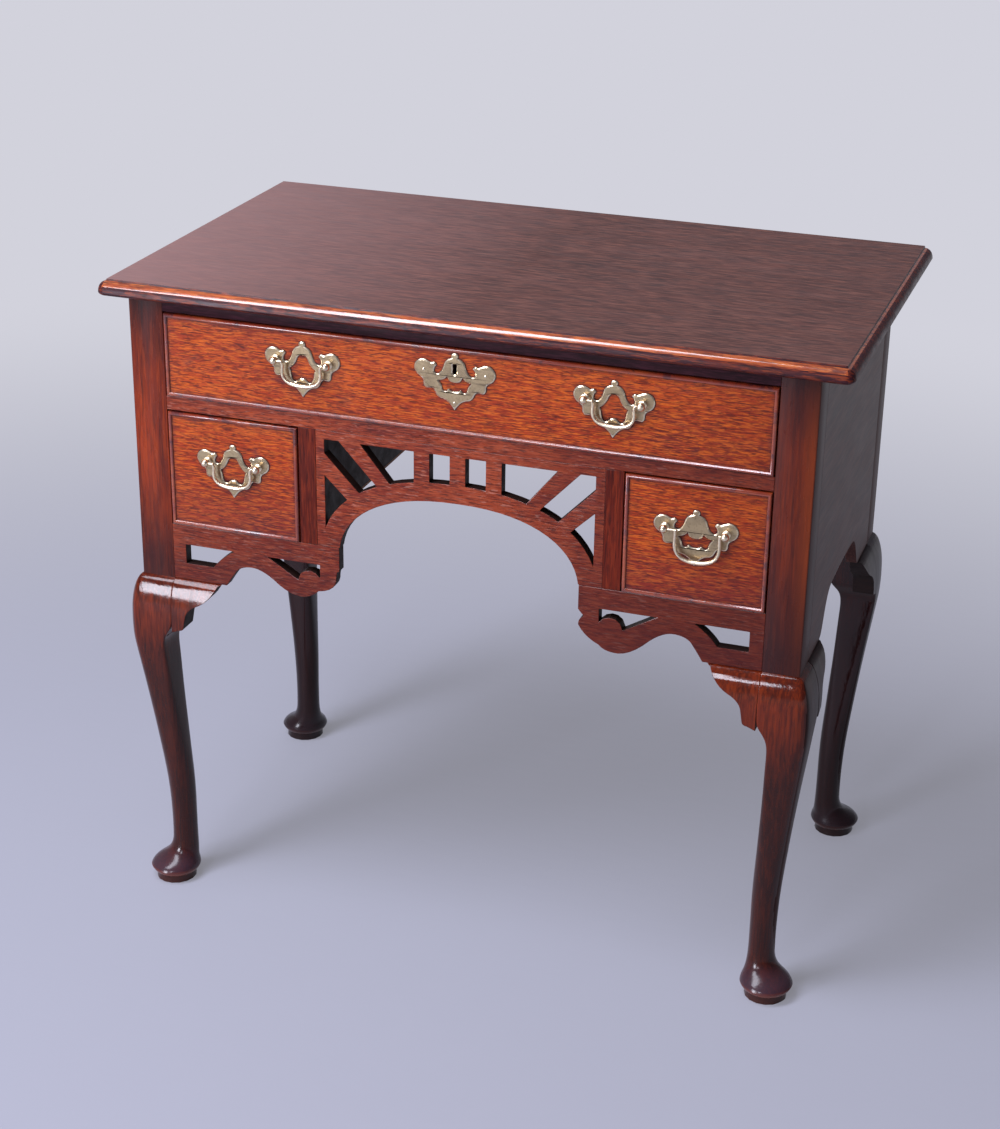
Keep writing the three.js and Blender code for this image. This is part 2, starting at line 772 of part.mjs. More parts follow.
// One drawer: front, cock bead, two dovetailed sides, back and bottom
const makeDrawer = ({ name, opening, height, tails, frontCuts }) => {
  const x = [opening[0] + gapSide, opening[1] - gapSide];
  const z = [height[0] + runningGap, height[1] - gapTop];
  const innerY = frontY + drawerFrontThickness;
  const sideZ = [z[0], z[1] - drawerSideDrop];
  const leftX = [x[0], x[0] + drawerSideThickness];
  const rightX = [x[1] - drawerSideThickness, x[1]];
  const bottomZ = [z[0] + drawerBottomRise, z[0] + drawerBottomRise + drawerBottomThickness];
  const grooveZ = [bottomZ[0] - grooveClearance, bottomZ[1] + grooveClearance];
  const backFrontY = drawerBackY - drawerBackThickness;
  const pitch = (sideZ[1] - sideZ[0]) / tails;
  const centres = Array.from({ length: tails }, (_, k) => sideZ[0] + (k + 0.5) * pitch);
  const halfRoot = pitch / 4;

  const board = block(
    grown(x, -beadWidth), [frontY, frontY + beadDepth], grown(z, -beadWidth),
  ).add(block(x, [frontY + beadDepth, innerY], z));
  const sideTails = (spanX, grow) => centres.map((centreZ) =>
    tailPrism(innerY, -1, tailLength, centreZ, halfRoot, spanX, grow));
  let front = board;
  [[leftX[0] - overrun, leftX[1] + jointClearance],
    [rightX[0] - jointClearance, rightX[1] + overrun]].forEach((span) => {
    sideTails(span, jointClearance).forEach((socket) => {
      front = front.subtract(socket);
    });
  });
  const grooveEnds = [leftX[1] - grooveDepth, rightX[0] + grooveDepth];
  front = front.subtract(block(grooveEnds, [innerY - grooveDepth, innerY + overrun], grooveZ));
  frontCuts.forEach((cut) => {
    front = front.subtract(cut);
  });
  add(`${name}_front`, front, frontOak);

  const beadFront = frontY - beadProud;
  add(`${name}_cock_bead`, frameSweep([
    [0, frontY + beadDepth],
    [0, frontY - beadProud / 4],
    [beadWidth / 4, beadFront + beadProud / 8],
    [beadWidth / 2, beadFront],
    [(beadWidth * 3) / 4, beadFront + beadProud / 8],
    [beadWidth, frontY - beadProud / 4],
    [beadWidth, frontY + beadDepth],
  ], x, z), frontOak);

  const backTails = (spanX, grow) => centres.slice(1).map((centreZ) =>
    tailPrism(backFrontY, 1, drawerBackThickness, centreZ, halfRoot, spanX, grow));
  const makeDrawerSide = (spanX, grooveX) => {
    let side = block(spanX, [innerY, backFrontY], sideZ);
    sideTails(spanX, 0).forEach((tail) => {
      side = side.add(tail);
    });
    backTails(spanX, 0).forEach((tail) => {
      side = side.add(tail);
    });
    return side.subtract(block(grooveX, [frontY, drawerBackY + overrun], grooveZ));
  };
  add(`${name}_left_side`, makeDrawerSide(leftX, [leftX[1] - grooveDepth, leftX[1] + overrun]), innerOak);
  add(`${name}_right_side`, makeDrawerSide(rightX, [rightX[0] - overrun, rightX[0] + grooveDepth]), innerOak);

  let back = block(
    x, [backFrontY + jointClearance, drawerBackY], [bottomZ[1] + grooveClearance, sideZ[1] - drawerBackDrop],
  );
  [[leftX[0] - overrun, leftX[1] + jointClearance],
    [rightX[0] - jointClearance, rightX[1] + overrun]].forEach((span) => {
    backTails(span, jointClearance).forEach((socket) => {
      back = back.subtract(socket);
    });
    back = back.subtract(block(
      span, [backFrontY, drawerBackY + overrun], [bottomZ[0], centres[1] - pitch / 2],
    ));
  });
  add(`${name}_back`, back, innerOak);

  add(`${name}_bottom`, block(
    grown(grooveEnds, -grooveClearance),
    [innerY - grooveDepth + grooveClearance, drawerBackY],
    bottomZ,
  ), innerOak);
};

// Half outlines of the brasses, right of their centre, as a start and then curves of a
// control and an end, in shares of the lobe's distance and of the height above or below it
const curved = (from, curves, width, height) => {
  const path = new THREE.Path();
  path.moveTo(from[0] * width, from[1] * height);
  curves.forEach(([[cx, cz], [ex, ez]]) => {
    path.quadraticCurveTo(cx * width, cz * height, ex * width, ez * height);
  });
  return path.getPoints(2);
};
const mirroredPolygon = (right) => {
  const left = right.slice(1, -1).map(({ x, y }) => [-x, y]).reverse();
  return polygon([...right.map(({ x, y }) => [x, y]), ...left]);
};

// Bat-wing backplate: finial, shoulder, curl, round lobe, ear and pointed foot
const plateTopShares = [
  [[0.1, 1], [0.105, 0.86]],
  [[0.105, 0.77], [0.075, 0.73]],
  [[0.29, 0.66], [0.33, 0.33]],
  [[0.38, -0.03], [0.47, -0.17]],
  [[0.57, -0.33], [0.65, -0.14]],
  [[0.67, 0.08], [0.57, 0.25]],
  [[0.62, 0.4], [0.67, 0.39]],
  [[0.74, 0.3], [0.81, 0.4]],
];
const plateFootShares = [
  [[0.97, -0.27], [0.985, -0.38]],
  [[0.98, -0.5], [0.87, -0.5]],
  [[0.78, -0.49], [0.72, -0.48]],
  [[0.65, -0.5], [0.6, -0.6]],
  [[0.54, -0.72], [0.4, -0.73]],
  [[0.25, -0.75], [0.18, -0.84]],
  [[0.09, -0.95], [0, -1]],
];
const plateShape = (lobeX) => {
  const lobe = new THREE.Path();
  const start = Math.acos((0.81 - 1) * (plateLobeX / plateLobeRadius));
  lobe.absarc(lobeX, 0, plateLobeRadius, start, -start * (2 / 3), true);
  return mirroredPolygon([
    ...curved([0, 1], plateTopShares, lobeX, plateFinialHeight),
    ...lobe.getPoints(6).slice(1),
    ...curved([1.1, -0.22], plateFootShares, lobeX, plateTipDrop),
  ]);
};
const holePrism = ([from, ...curves], lobeX, y) =>
  frontPrism(mirroredPolygon(curved(from, curves, lobeX, plateTipDrop)), y);
const openHoleShares = [
  [0, 0.105],
  [[0.14, 0.11], [0.19, -0.015]],
  [[0.27, -0.19], [0.454, -0.265]],
  [[0.4, -0.33], [0.4, -0.42]],
  [[0.36, -0.62], [0.238, -0.61]],
  [[0.17, -0.59], [0.13, -0.55]],
  [[0.07, -0.5], [0, -0.51]],
];
const lensHoleShares = [
  [0, -0.29],
  [[0.18, -0.29], [0.215, -0.2]],
  [[0.23, -0.16], [0.25, -0.155]],
  [[0.32, -0.25], [0.53, -0.275]],
  [[0.43, -0.35], [0.41, -0.43]],
  [[0.39, -0.55], [0.3, -0.545]],
  [[0.24, -0.54], [0.215, -0.485]],
  [[0.18, -0.46], [0.15, -0.5]],
  [[0.08, -0.54], [0, -0.53]],
];

// Turned about Y: a profile of radius and distance in front of the drawer's face
const turned = (profile, segments) => {
  const points = profile.map(([radius, reach]) => new THREE.Vector2(radius, reach));
  return solid(moved(new THREE.LatheGeometry(points, segments), (x, y, z) => [x, -y, -z]));
};

// A cast backplate with its two ball-headed posts, their shanks and nuts
const ballCentreY = frontY - ballReach;
const makePlate = ({ centreX, centreZ, lobeX, spacing, holeShares }) => {
  const sheet = [frontY - plateThickness, frontY];
  let plate = frontPrism(plateShape(lobeX), sheet)
    .subtract(holePrism(holeShares, lobeX, grown(sheet, overrun)));
  const nutFace = -drawerFrontThickness;
  const neckTop = ballReach - Math.sqrt(ballRadius ** 2 - postNeckRadius ** 2);
  const profile = [
    [0, nutFace - nutThickness - overrun],
    [shankRadius, nutFace - nutThickness - overrun],
    [shankRadius, nutFace - nutThickness],
    [nutRadius, nutFace - nutThickness],
    [nutRadius, nutFace],
    [shankRadius, nutFace],
    [shankRadius, 0],
    [2 * postNeckRadius, plateThickness / 2],
    [2 * postNeckRadius, 2 * plateThickness],
    [postNeckRadius, 2 * plateThickness],
  ];
  const ballSteps = 3;
  const startAngle = Math.asin((neckTop - ballReach) / ballRadius);
  for (let k = 0; k <= ballSteps; k += 1) {
    const angle = startAngle + (k / ballSteps) * (Math.PI / 2 - startAngle);
    const radius = k === ballSteps ? 0 : ballRadius * Math.cos(angle);
    profile.push([radius, ballReach + ballRadius * Math.sin(angle)]);
  }
  const post = turned(profile, 8);
  [-1, 1].forEach((side) => {
    const drill = solid(new THREE.CylinderGeometry(
      bailHoleRadius, bailHoleRadius, 2 * ballRadius, 8,
    ).rotateZ(Math.PI / 2));
    const hole = drill.translate([-side * ballRadius, -ballReach, 0]);
    plate = plate.add(post.subtract(hole).translate([(side * spacing) / 2, frontY, -ballDrop]));
  });
  return plate.translate([centreX, 0, centreZ]);
};

// A swinging bail with a thin pin at each end, let into the balls. It has slid a little to
// the right, so its left pin is longer. Its right half is in shares of its sizes.
const bailShares = [[0.99, -0.12], [1, -0.4], [0.99, -0.53], [0.92, -0.7], [0.76, -0.85], [0.45, -0.96]];
const makeBail = ({ centreX, centreZ, spacing, drop, shoulder, shift }) => {
  const armEnd = spacing / 2 - ballRadius - bailSideGap;
  const depth = drop - bailRadius;
  const halfEnd = armEnd - shift;
  const bend = [(halfEnd + shoulder) / 2, -bailRadius / 3];
  const path = [[halfEnd, 0], bend, ...bailShares.map(([x, z]) => [x * shoulder, z * depth])];
  const points = [
    ...path.map(([x, z]) => new THREE.Vector3(shift - x, 0, z)),
    new THREE.Vector3(shift, 0, -depth),
    ...path.map(([x, z]) => new THREE.Vector3(shift + x, 0, z)).reverse(),
  ];
  const sides = 6;
  const section = new THREE.Shape();
  for (let k = 0; k < sides; k += 1) {
    const angle = (k / sides) * 2 * Math.PI;
    const place = [bailRadius * Math.cos(angle), bailRadius * Math.sin(angle)];
    if (k === 0) {
      section.moveTo(...place);
    } else {
      section.lineTo(...place);
    }
  }
  const loop = solid(new THREE.ExtrudeGeometry(section, {
    steps: 20,
    bevelEnabled: false,
    extrudePath: new THREE.CatmullRomCurve3(points),
  }));
  const pinEnd = spacing / 2 - ballRadius / 3;
  const pin = (from, to) => solid(new THREE.CylinderGeometry(
    bailPinRadius, bailPinRadius, to - from, 8,
  ).rotateZ(Math.PI / 2)).translate([(from + to) / 2, 0, 0]);
  return loop
    .add(pin(armEnd - bailRadius, pinEnd))
    .add(pin(-pinEnd, 2 * shift - armEnd + bailRadius))
    .translate([centreX, ballCentreY, centreZ - ballDrop]);
};

const openPattern = {
  lobeX: plateLobeX,
  spacing: ballSpacing,
  holeShares: openHoleShares,
  drop: bailDrop,
  shoulder: bailShoulder,
  shift: bailShift,
};
const widePattern = {
  lobeX: wideLobeX,
  spacing: wideBallSpacing,
  holeShares: lensHoleShares,
  drop: wideBailDrop,
  shoulder: wideBailShoulder,
  shift: wideBailShift,
};
const longHandleX = postInner - longHandleInset;
const smallHandleX = (muntinOuter + postInner) / 2;
const longHandleZ = longTop - longHandleDrop;
const smallHandleZ = smallTop - smallHandleDrop;
const handles = {
  long_drawer_left: { ...openPattern, centreX: longBrassShift - longHandleX, centreZ: longHandleZ },
  long_drawer_right: { ...openPattern, centreX: longBrassShift + longHandleX, centreZ: longHandleZ },
  left_drawer: { ...openPattern, centreX: -smallHandleX, centreZ: smallHandleZ },
  right_drawer: { ...widePattern, centreX: smallHandleX, centreZ: smallHandleZ },
};
const shankHoles = ({ centreX, centreZ, spacing }) => [-1, 1].map((side) =>
  solid(new THREE.CylinderGeometry(
    shankRadius + shankClearance, shankRadius + shankClearance, 2 * drawerFrontThickness, 10,
  )).translate([
    centreX + (side * spacing) / 2,
    frontY + drawerFrontThickness / 2,
    centreZ - ballDrop,
  ]));

// Lock: an iron case let into the back of the front, with a bolt that shoots up
const lockZ = [longTop - gapTop - lockHeight, longTop - gapTop - beadWidth];
const lockX = [longBrassShift - lockWidth / 2, longBrassShift + lockWidth / 2];
const lockY = [
  frontY + drawerFrontThickness - lockThickness,
  frontY + drawerFrontThickness,
];
const keyZ = longTop - escutcheonDrop;
const boltTop = longTop - gapTop - boltClearance;
const boltSlot = block(
  grown(boltX, boltClearance),
  grown(boltY, boltClearance),
  [boltTop - boltHeight - boltClearance, longTop],
);
const keyhole = solid(new THREE.CylinderGeometry(
  keyholeRadius, keyholeRadius, 3 * drawerFrontThickness, 12,
)).add(block(
  [-keySlotWidth / 2, keySlotWidth / 2],
  [-drawerFrontThickness * (3 / 2), drawerFrontThickness * (3 / 2)],
  [-keyholeRise - keySlotDrop, 0],
)).translate([longBrassShift, frontY, keyZ + keyholeRise]);
const lockMortise = block(
  grown(lockX, jointClearance),
  [lockY[0] - jointClearance, lockY[1] + overrun],
  grown(lockZ, jointClearance),
);

makeDrawer({
  name: 'long_drawer',
  opening: [-postInner, postInner],
  height: [longBottom, longTop],
  tails: 3,
  frontCuts: [
    ...shankHoles(handles.long_drawer_left),
    ...shankHoles(handles.long_drawer_right),
    lockMortise, boltSlot, keyhole,
  ],
});
makeDrawer({
  name: 'left_drawer',
  opening: [-postInner, -muntinOuter],
  height: [smallBottom, smallTop],
  tails: 4,
  frontCuts: shankHoles(handles.left_drawer),
});
makeDrawer({
  name: 'right_drawer',
  opening: [muntinOuter, postInner],
  height: [smallBottom, smallTop],
  tails: 4,
  frontCuts: shankHoles(handles.right_drawer),
});

Object.entries(handles).forEach(([name, handle]) => {
  add(`${name}_backplate`, makePlate(handle), brass);
  add(`${name}_bail`, makeBail(handle), brass);
});

add('lock_case', block(lockX, lockY, lockZ).subtract(boltSlot).subtract(keyhole), iron);
add('lock_bolt', block(boltX, boltY, [boltTop - boltHeight, boltTop]), iron);

// Escutcheon: the same outline, cut for the key and the lens
const makeEscutcheon = () => {
  const sheet = [frontY - plateThickness, frontY];
  return frontPrism(plateShape(wideLobeX), sheet)
    .subtract(holePrism(lensHoleShares, wideLobeX, grown(sheet, overrun)))
    .translate([longBrassShift, 0, keyZ])
    .subtract(keyhole);
};
add('escutcheon', makeEscutcheon(), brass);

export default group;
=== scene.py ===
"""Lowboy: the looks of an old oak side table with cabriole legs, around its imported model.

The model faces -Y and stands on z = 0. Everything is in metres unless a name or comment says mm."""
import json
from math import acos, cos, pi, radians, sin, sqrt

import bpy
from mathutils import Matrix, Vector


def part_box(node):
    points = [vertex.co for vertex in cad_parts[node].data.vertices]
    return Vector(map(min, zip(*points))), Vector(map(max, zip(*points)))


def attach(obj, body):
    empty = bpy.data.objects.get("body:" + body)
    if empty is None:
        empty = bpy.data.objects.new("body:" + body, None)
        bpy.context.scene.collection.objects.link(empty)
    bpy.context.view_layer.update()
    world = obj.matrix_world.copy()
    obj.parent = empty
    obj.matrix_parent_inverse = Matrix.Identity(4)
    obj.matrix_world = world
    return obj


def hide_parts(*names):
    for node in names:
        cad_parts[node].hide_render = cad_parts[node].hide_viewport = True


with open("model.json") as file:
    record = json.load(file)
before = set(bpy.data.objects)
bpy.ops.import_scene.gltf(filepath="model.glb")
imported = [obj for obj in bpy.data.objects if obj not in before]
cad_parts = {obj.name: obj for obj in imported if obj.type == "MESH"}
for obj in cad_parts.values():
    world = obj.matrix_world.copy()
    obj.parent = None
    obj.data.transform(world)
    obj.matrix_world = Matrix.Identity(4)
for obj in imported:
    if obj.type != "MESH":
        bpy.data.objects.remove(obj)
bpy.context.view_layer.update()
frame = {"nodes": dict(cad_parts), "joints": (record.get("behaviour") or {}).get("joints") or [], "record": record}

MM = 0.001
NEAR, SAME_POINT = 0.01 * MM, 0.002 * MM

bodies = frame["record"]["behaviour"]["bodies"]
body_of = {node: body for body, nodes in bodies.items() for node in nodes}
slot_of = {row["node"]: row["material_slot"] for row in frame["record"]["subparts"]}
joint_place = {row["child"]: Vector(row["pos_m"]) for row in frame["joints"] if row.get("pos_m")}

# Camera at the photograph's place: image 1000 by 1129 pixels, sensor in mm
IMAGE_HEIGHT = 1129
FOCAL_PIXELS = 2218
SENSOR_HEIGHT = 24
CAMERA_PLACE = Vector((0.7027, -2.1402, 1.3474))
AZIMUTH, ELEVATION, ROLL = radians(18.787), radians(23.733), radians(0.833)


def add_camera():
    data = bpy.data.cameras.new("camera")
    data.sensor_fit = "VERTICAL"
    data.sensor_height = SENSOR_HEIGHT
    data.lens = FOCAL_PIXELS * SENSOR_HEIGHT / IMAGE_HEIGHT
    back = Vector((sin(AZIMUTH) * cos(ELEVATION), -cos(AZIMUTH) * cos(ELEVATION), sin(ELEVATION)))
    level = Vector((cos(AZIMUTH), sin(AZIMUTH), 0))
    upright = back.cross(level)
    right = level * cos(ROLL) + upright * sin(ROLL)
    up = upright * cos(ROLL) - level * sin(ROLL)
    camera = bpy.data.objects.new("camera", data)
    turn = Matrix((right, up, back)).transposed().to_4x4()
    camera.matrix_world = Matrix.Translation(CAMERA_PLACE) @ turn
    bpy.context.scene.collection.objects.link(camera)
    bpy.context.scene.camera = camera


add_camera()
bpy.context.scene.view_settings.view_transform = "Standard"


# Materials

AXES = {"X": 0, "Y": 1, "Z": 2}
# Sockets whose names repeat, by number
RANGE_VALUE, RANGE_LOW, RANGE_HIGH, RANGE_START, RANGE_END = range(5)
MIX_FACTOR, MIX_UNDER, MIX_OVER, MIX_RESULT = 0, 6, 7, 2
PLAIN_UNDER, PLAIN_OVER = 2, 3
SHADER_FACTOR, SHADER_UNDER, SHADER_OVER = range(3)
FIRST, SECOND = 0, 1

NOISE_ROUGHNESS, NOISE_DISTORTION = 0.6, 0.35
BUMP_DETAIL = 4.0
CORNER_SAMPLES = 8
# Patches of duller and brighter wax: length mm, width mm, detail, and the noise's range
WAX_PATCH, WAX_LOW, WAX_HIGH = (60, 14, 3.0), 0.35, 0.65
# Heights between which a dull foot goes from its own roughness to the dull one, in mm
DULL_START, DULL_END = 60, 30


def linear(hex_colour):
    """An sRGB hex colour as the linear RGBA that the shaders take."""
    channels = [int(hex_colour[k:k + 2], 16) / 255 for k in (1, 3, 5)]
    return (*[c / 12.92 if c <= 0.04045 else ((c + 0.055) / 1.055) ** 2.4 for c in channels], 1)


def add(tree, kind, inputs=None, **settings):
    """Adds a node, with its settings and with each input set to a value or linked to an output."""
    node = tree.nodes.new(kind)
    for name, value in settings.items():
        setattr(node, name, value)
    for socket, value in (inputs or {}).items():
        if isinstance(value, bpy.types.NodeSocket):
            tree.links.new(value, node.inputs[socket])
        else:
            node.inputs[socket].default_value = value
    return node


def material(name, base, layers, along="X", roughness=(0.3, 0.45), bumps=(), shift=0.0,
             dull_foot=None, **shader):
    """A surface painted in layers over its base colour.

    A layer is (pattern, low, high, share, colour): where the pattern goes from low to high, the
    colour comes in, up to that share. A pattern is ("grain", length mm, width mm, detail), a
    noise drawn out along the timber; ("X", "Y" or "Z",), a coordinate in mm; or ("corner",
    reach mm), painted shade that darkens corners. Bumps are (length mm, width mm, depth mm).
    Roughness goes from the first number to the second in patches of wax. dull_foot is the
    roughness of the last few centimetres above the floor."""
    made = bpy.data.materials.new(name)
    made.use_nodes = True
    tree = made.node_tree
    surface = tree.nodes["Principled BSDF"]
    place = add(tree, "ShaderNodeTexCoord").outputs["Object"]
    axes = add(tree, "ShaderNodeSeparateXYZ", {"Vector": place}).outputs

    def grain(length, width, detail):
        scale = [1 / (width * MM)] * 3
        scale[AXES[along]] = 1 / (length * MM)
        drawn = add(tree, "ShaderNodeMapping", {
            "Vector": place, "Location": (shift, shift / 3, shift / 2), "Scale": scale,
        })
        noise = add(tree, "ShaderNodeTexNoise", {
            "Vector": drawn.outputs[0], "Scale": 1.0, "Detail": detail,
            "Roughness": NOISE_ROUGHNESS, "Distortion": NOISE_DISTORTION,
        })
        return noise.outputs[0]

    colour = linear(base)
    for (pattern, *sizes), low, high, share, tone in layers:
        unit = 1
        if pattern == "grain":
            value = grain(*sizes)
        elif pattern == "corner":
            # Painted shade: corners darkened by ambient occlusion
            value = add(tree, "ShaderNodeAmbientOcclusion", {"Distance": sizes[0] * MM},
                        samples=CORNER_SAMPLES).outputs["AO"]
        else:
            value, unit = axes[AXES[pattern]], MM
        amount = add(tree, "ShaderNodeMapRange", {
            RANGE_VALUE: value, RANGE_LOW: low * unit, RANGE_HIGH: high * unit,
            RANGE_START: 0.0, RANGE_END: share,
        })
        mixed = add(tree, "ShaderNodeMix", {
            MIX_FACTOR: amount.outputs[0], MIX_UNDER: colour, MIX_OVER: linear(tone),
        }, data_type="RGBA")
        colour = mixed.outputs[MIX_RESULT]
    if layers:
        tree.links.new(colour, surface.inputs["Base Color"])
    else:
        surface.inputs["Base Color"].default_value = colour

    dullness = add(tree, "ShaderNodeMapRange", {
        RANGE_VALUE: grain(*WAX_PATCH), RANGE_LOW: WAX_LOW, RANGE_HIGH: WAX_HIGH,
        RANGE_START: roughness[0], RANGE_END: roughness[1],
    }).outputs[0]
    if dull_foot:
        near_floor = add(tree, "ShaderNodeMapRange", {
            RANGE_VALUE: axes["Z"], RANGE_LOW: DULL_START * MM, RANGE_HIGH: DULL_END * MM,
        }).outputs[0]
        dullness = add(tree, "ShaderNodeMix", {
            MIX_FACTOR: near_floor, PLAIN_UNDER: dullness, PLAIN_OVER: dull_foot,
        }).outputs[0]
    tree.links.new(dullness, surface.inputs["Roughness"])

    normal = None
    for length, width, depth in bumps:
        raised = add(tree, "ShaderNodeBump", {
            "Height": grain(length, width, BUMP_DETAIL), "Strength": 1.0, "Distance": depth * MM,
        })
        if normal:
            tree.links.new(normal, raised.inputs["Normal"])
        normal = raised.outputs[0]
    if normal:
        tree.links.new(normal, surface.inputs["Normal"])
    for socket, value in shader.items():
        surface.inputs[socket.replace("_", " ")].default_value = value
    return made


# Waxed oak of the drawer fronts: orange-brown with hard wavy flecks, redder and darker to the
# right and down, and painted shade inside the beads. The flecks of real oak are under a
# millimetre wide, and here as on every board they are drawn as coarse as they need to show
drawer_oak = material("waxed_oak_fronts", "#942e08", [
    (("grain", 150, 60, 3.0), 0.42, 0.62, 0.7, "#ac420e"),
    (("grain", 90, 34, 3.0), 0.54, 0.68, 0.65, "#681c14"),
    (("grain", 15, 1.3, 2.0), 0.46, 0.59, 0.75, "#ca6016"),
    (("grain", 13, 1.2, 2.0), 0.5, 0.62, 0.8, "#501206"),
    (("grain", 7, 1.3, 1.0), 0.54, 0.67, 0.55, "#380e0a"),
    (("grain", 40, 22, 4.0), 0.62, 0.74, 0.6, "#3e1a24"),
    (("X",), 200, 330, 0.3, "#43100c"),
    (("Z",), 505, 448, 0.4, "#401424"),
    (("corner", 12), 0.96, 0.6, 0.92, "#1f0e15"),
], roughness=(0.28, 0.42), bumps=[(80, 50, 0.35), (18, 1.9, 0.16)], shift=3.1,
    Specular_IOR_Level=0.25)

# Cock beads: the same oak, handled and rubbed until it shines
bead_oak = material("rubbed_oak_beads", "#7a2c19", [
    (("grain", 60, 30, 3.0), 0.45, 0.6, 0.7, "#95431f"),
    (("grain", 16, 16, 4.0), 0.52, 0.62, 0.7, "#3a1a20"),
], roughness=(0.16, 0.3), bumps=[(20, 20, 0.2)], shift=4.4, Coat_Weight=1.0, Coat_Roughness=0.1)

# Front frame: redder and darker than the drawers, darker still to the right and at the foot
case_oak = material("waxed_oak_frame", "#6e2110", [
    (("grain", 120, 30, 3.0), 0.42, 0.6, 0.7, "#943c1c"),
    (("grain", 60, 24, 3.0), 0.52, 0.66, 0.6, "#441414"),
    (("grain", 15, 1.4, 2.0), 0.46, 0.6, 0.6, "#a04a2a"),
    (("grain", 13, 1.3, 2.0), 0.5, 0.62, 0.7, "#300c0b"),
    # Pale flecks: painted sheen on the grain
    (("grain", 12, 1.8, 2.0), 0.6, 0.68, 0.25, "#c4907e"),
    (("X",), 30, 200, 0.5, "#3c0f0b"),
    (("Z",), 470, 400, 0.5, "#3e0f0d"),
    # Painted shade in the corners
    (("corner", 7), 0.84, 0.3, 0.85, "#190b10"),
], roughness=(0.24, 0.38), bumps=[(60, 40, 0.35), (14, 2, 0.1)], shift=7.7,
    Specular_IOR_Level=0.25)

# Muntins beside the centre: upright grain, darker and redder than the rails
muntin_oak = material("waxed_oak_muntins", "#4c1207", [
    (("grain", 120, 20, 3.0), 0.42, 0.6, 0.6, "#681f0d"),
    (("grain", 30, 1.8, 2.0), 0.46, 0.6, 0.5, "#7c2c12"),
    (("grain", 24, 1.7, 2.0), 0.5, 0.62, 0.6, "#240806"),
    # Painted shade in the corners
    (("corner", 7), 0.84, 0.3, 0.85, "#190b10"),
], along="Z", roughness=(0.3, 0.42), bumps=[(40, 3, 0.06)], shift=7.9, Specular_IOR_Level=0.15)

# Rail over the long drawer: in the shade of the top, dark and dull
shaded_oak = material("shaded_oak_rail", "#2a1218", [
    (("grain", 60, 10, 3.0), 0.46, 0.64, 0.6, "#160a0e"),
    (("grain", 15, 1.4, 2.0), 0.48, 0.62, 0.5, "#45202a"),
], roughness=(0.45, 0.55), bumps=[(14, 2, 0.1)], shift=7.1, Specular_IOR_Level=0.08)

# Posts: hand-polished, orange-brown in the middle, painted shade near black under the top,
# near black at the ledge, the right ones darker and with a rubbed arris
post_oak = material("waxed_oak_posts", "#5c1906", [
    (("grain", 160, 22, 3.0), 0.42, 0.6, 0.6, "#8e2f08"),
    (("grain", 120, 8, 3.0), 0.52, 0.66, 0.35, "#240804"),
    (("grain", 40, 1.8, 2.0), 0.48, 0.62, 0.4, "#a03c0a"),
    (("grain", 40, 2.2, 2.0), 0.52, 0.64, 0.4, "#200704"),
    (("X",), 300, 320, 0.55, "#260a07"),
    (("X",), 340, 355, 0.5, "#8a3a12"),
    # Painted shade under the top
    (("Z",), 610, 690, 0.85, "#1c090b"),
    (("Z",), 500, 400, 0.75, "#240b0b"),
], along="Z", roughness=(0.22, 0.34), bumps=[(60, 30, 0.3), (40, 3, 0.04)], shift=1.3,
    Specular_IOR_Level=0.3)

# Outer faces of the posts: the dull brown of the side boards, its grain upright
post_side_oak = material("oak_post_sides", "#46241e", [
    (("grain", 160, 30, 3.0), 0.42, 0.6, 0.5, "#572e24"),
    (("grain", 50, 2.8, 2.0), 0.5, 0.62, 0.45, "#221010"),
], along="Z", roughness=(0.42, 0.45), bumps=[(30, 2.4, 0.05)], shift=2.9,
    Specular_IOR_Level=0.08)

# Knees, shins and feet: rubbed bright, orange-brown on the knee and dark on the shin, with a
# painted purple-grey sheen on the pad, a worn line at the pad's rim over a dark disc, and
# painted shade darkening the rear legs
knee_oak = material("rubbed_oak_knees", "#471204", [
    (("grain", 160, 22, 3.0), 0.42, 0.6, 0.6, "#722506"),
    (("grain", 120, 8, 3.0), 0.5, 0.64, 0.4, "#1c0603"),
    (("grain", 50, 2.6, 2.0), 0.48, 0.62, 0.35, "#843008"),
    (("grain", 40, 2.2, 2.0), 0.52, 0.64, 0.4, "#1a0503"),
    (("Z",), 330, 260, 0.7, "#1e0804"),
    # Painted sheen on the pad
    (("Z",), 40, 22, 0.4, "#4a3a48"),
    (("Z",), 17, 13, 0.7, "#7c3416"),
    (("Z",), 8.6, 7.8, 0.8, "#24120f"),
    # Painted shade on the rear legs
    (("Y",), 0, 140, 0.8, "#120406"),
], along="Z", roughness=(0.1, 0.16), bumps=[(40, 24, 0.5), (30, 3, 0.03)], shift=1.3,
    dull_foot=0.22, Coat_Weight=0.12, Coat_Roughness=0.1, Specular_IOR_Level=0.3)

# Outer sides of the knees: in their own shade, dark and with little shine, and painted shade
# darkening the rear legs
knee_side_oak = material("oak_knee_sides", "#2e0f08", [
    (("grain", 160, 22, 3.0), 0.42, 0.6, 0.6, "#421509"),
    (("grain", 50, 2.6, 2.0), 0.48, 0.62, 0.35, "#170705"),
    # Painted shade on the rear legs
    (("Y",), 0, 140, 0.6, "#120406"),
], along="Z", roughness=(0.3, 0.36), bumps=[(40, 24, 0.3)], shift=1.3, Specular_IOR_Level=0.1)

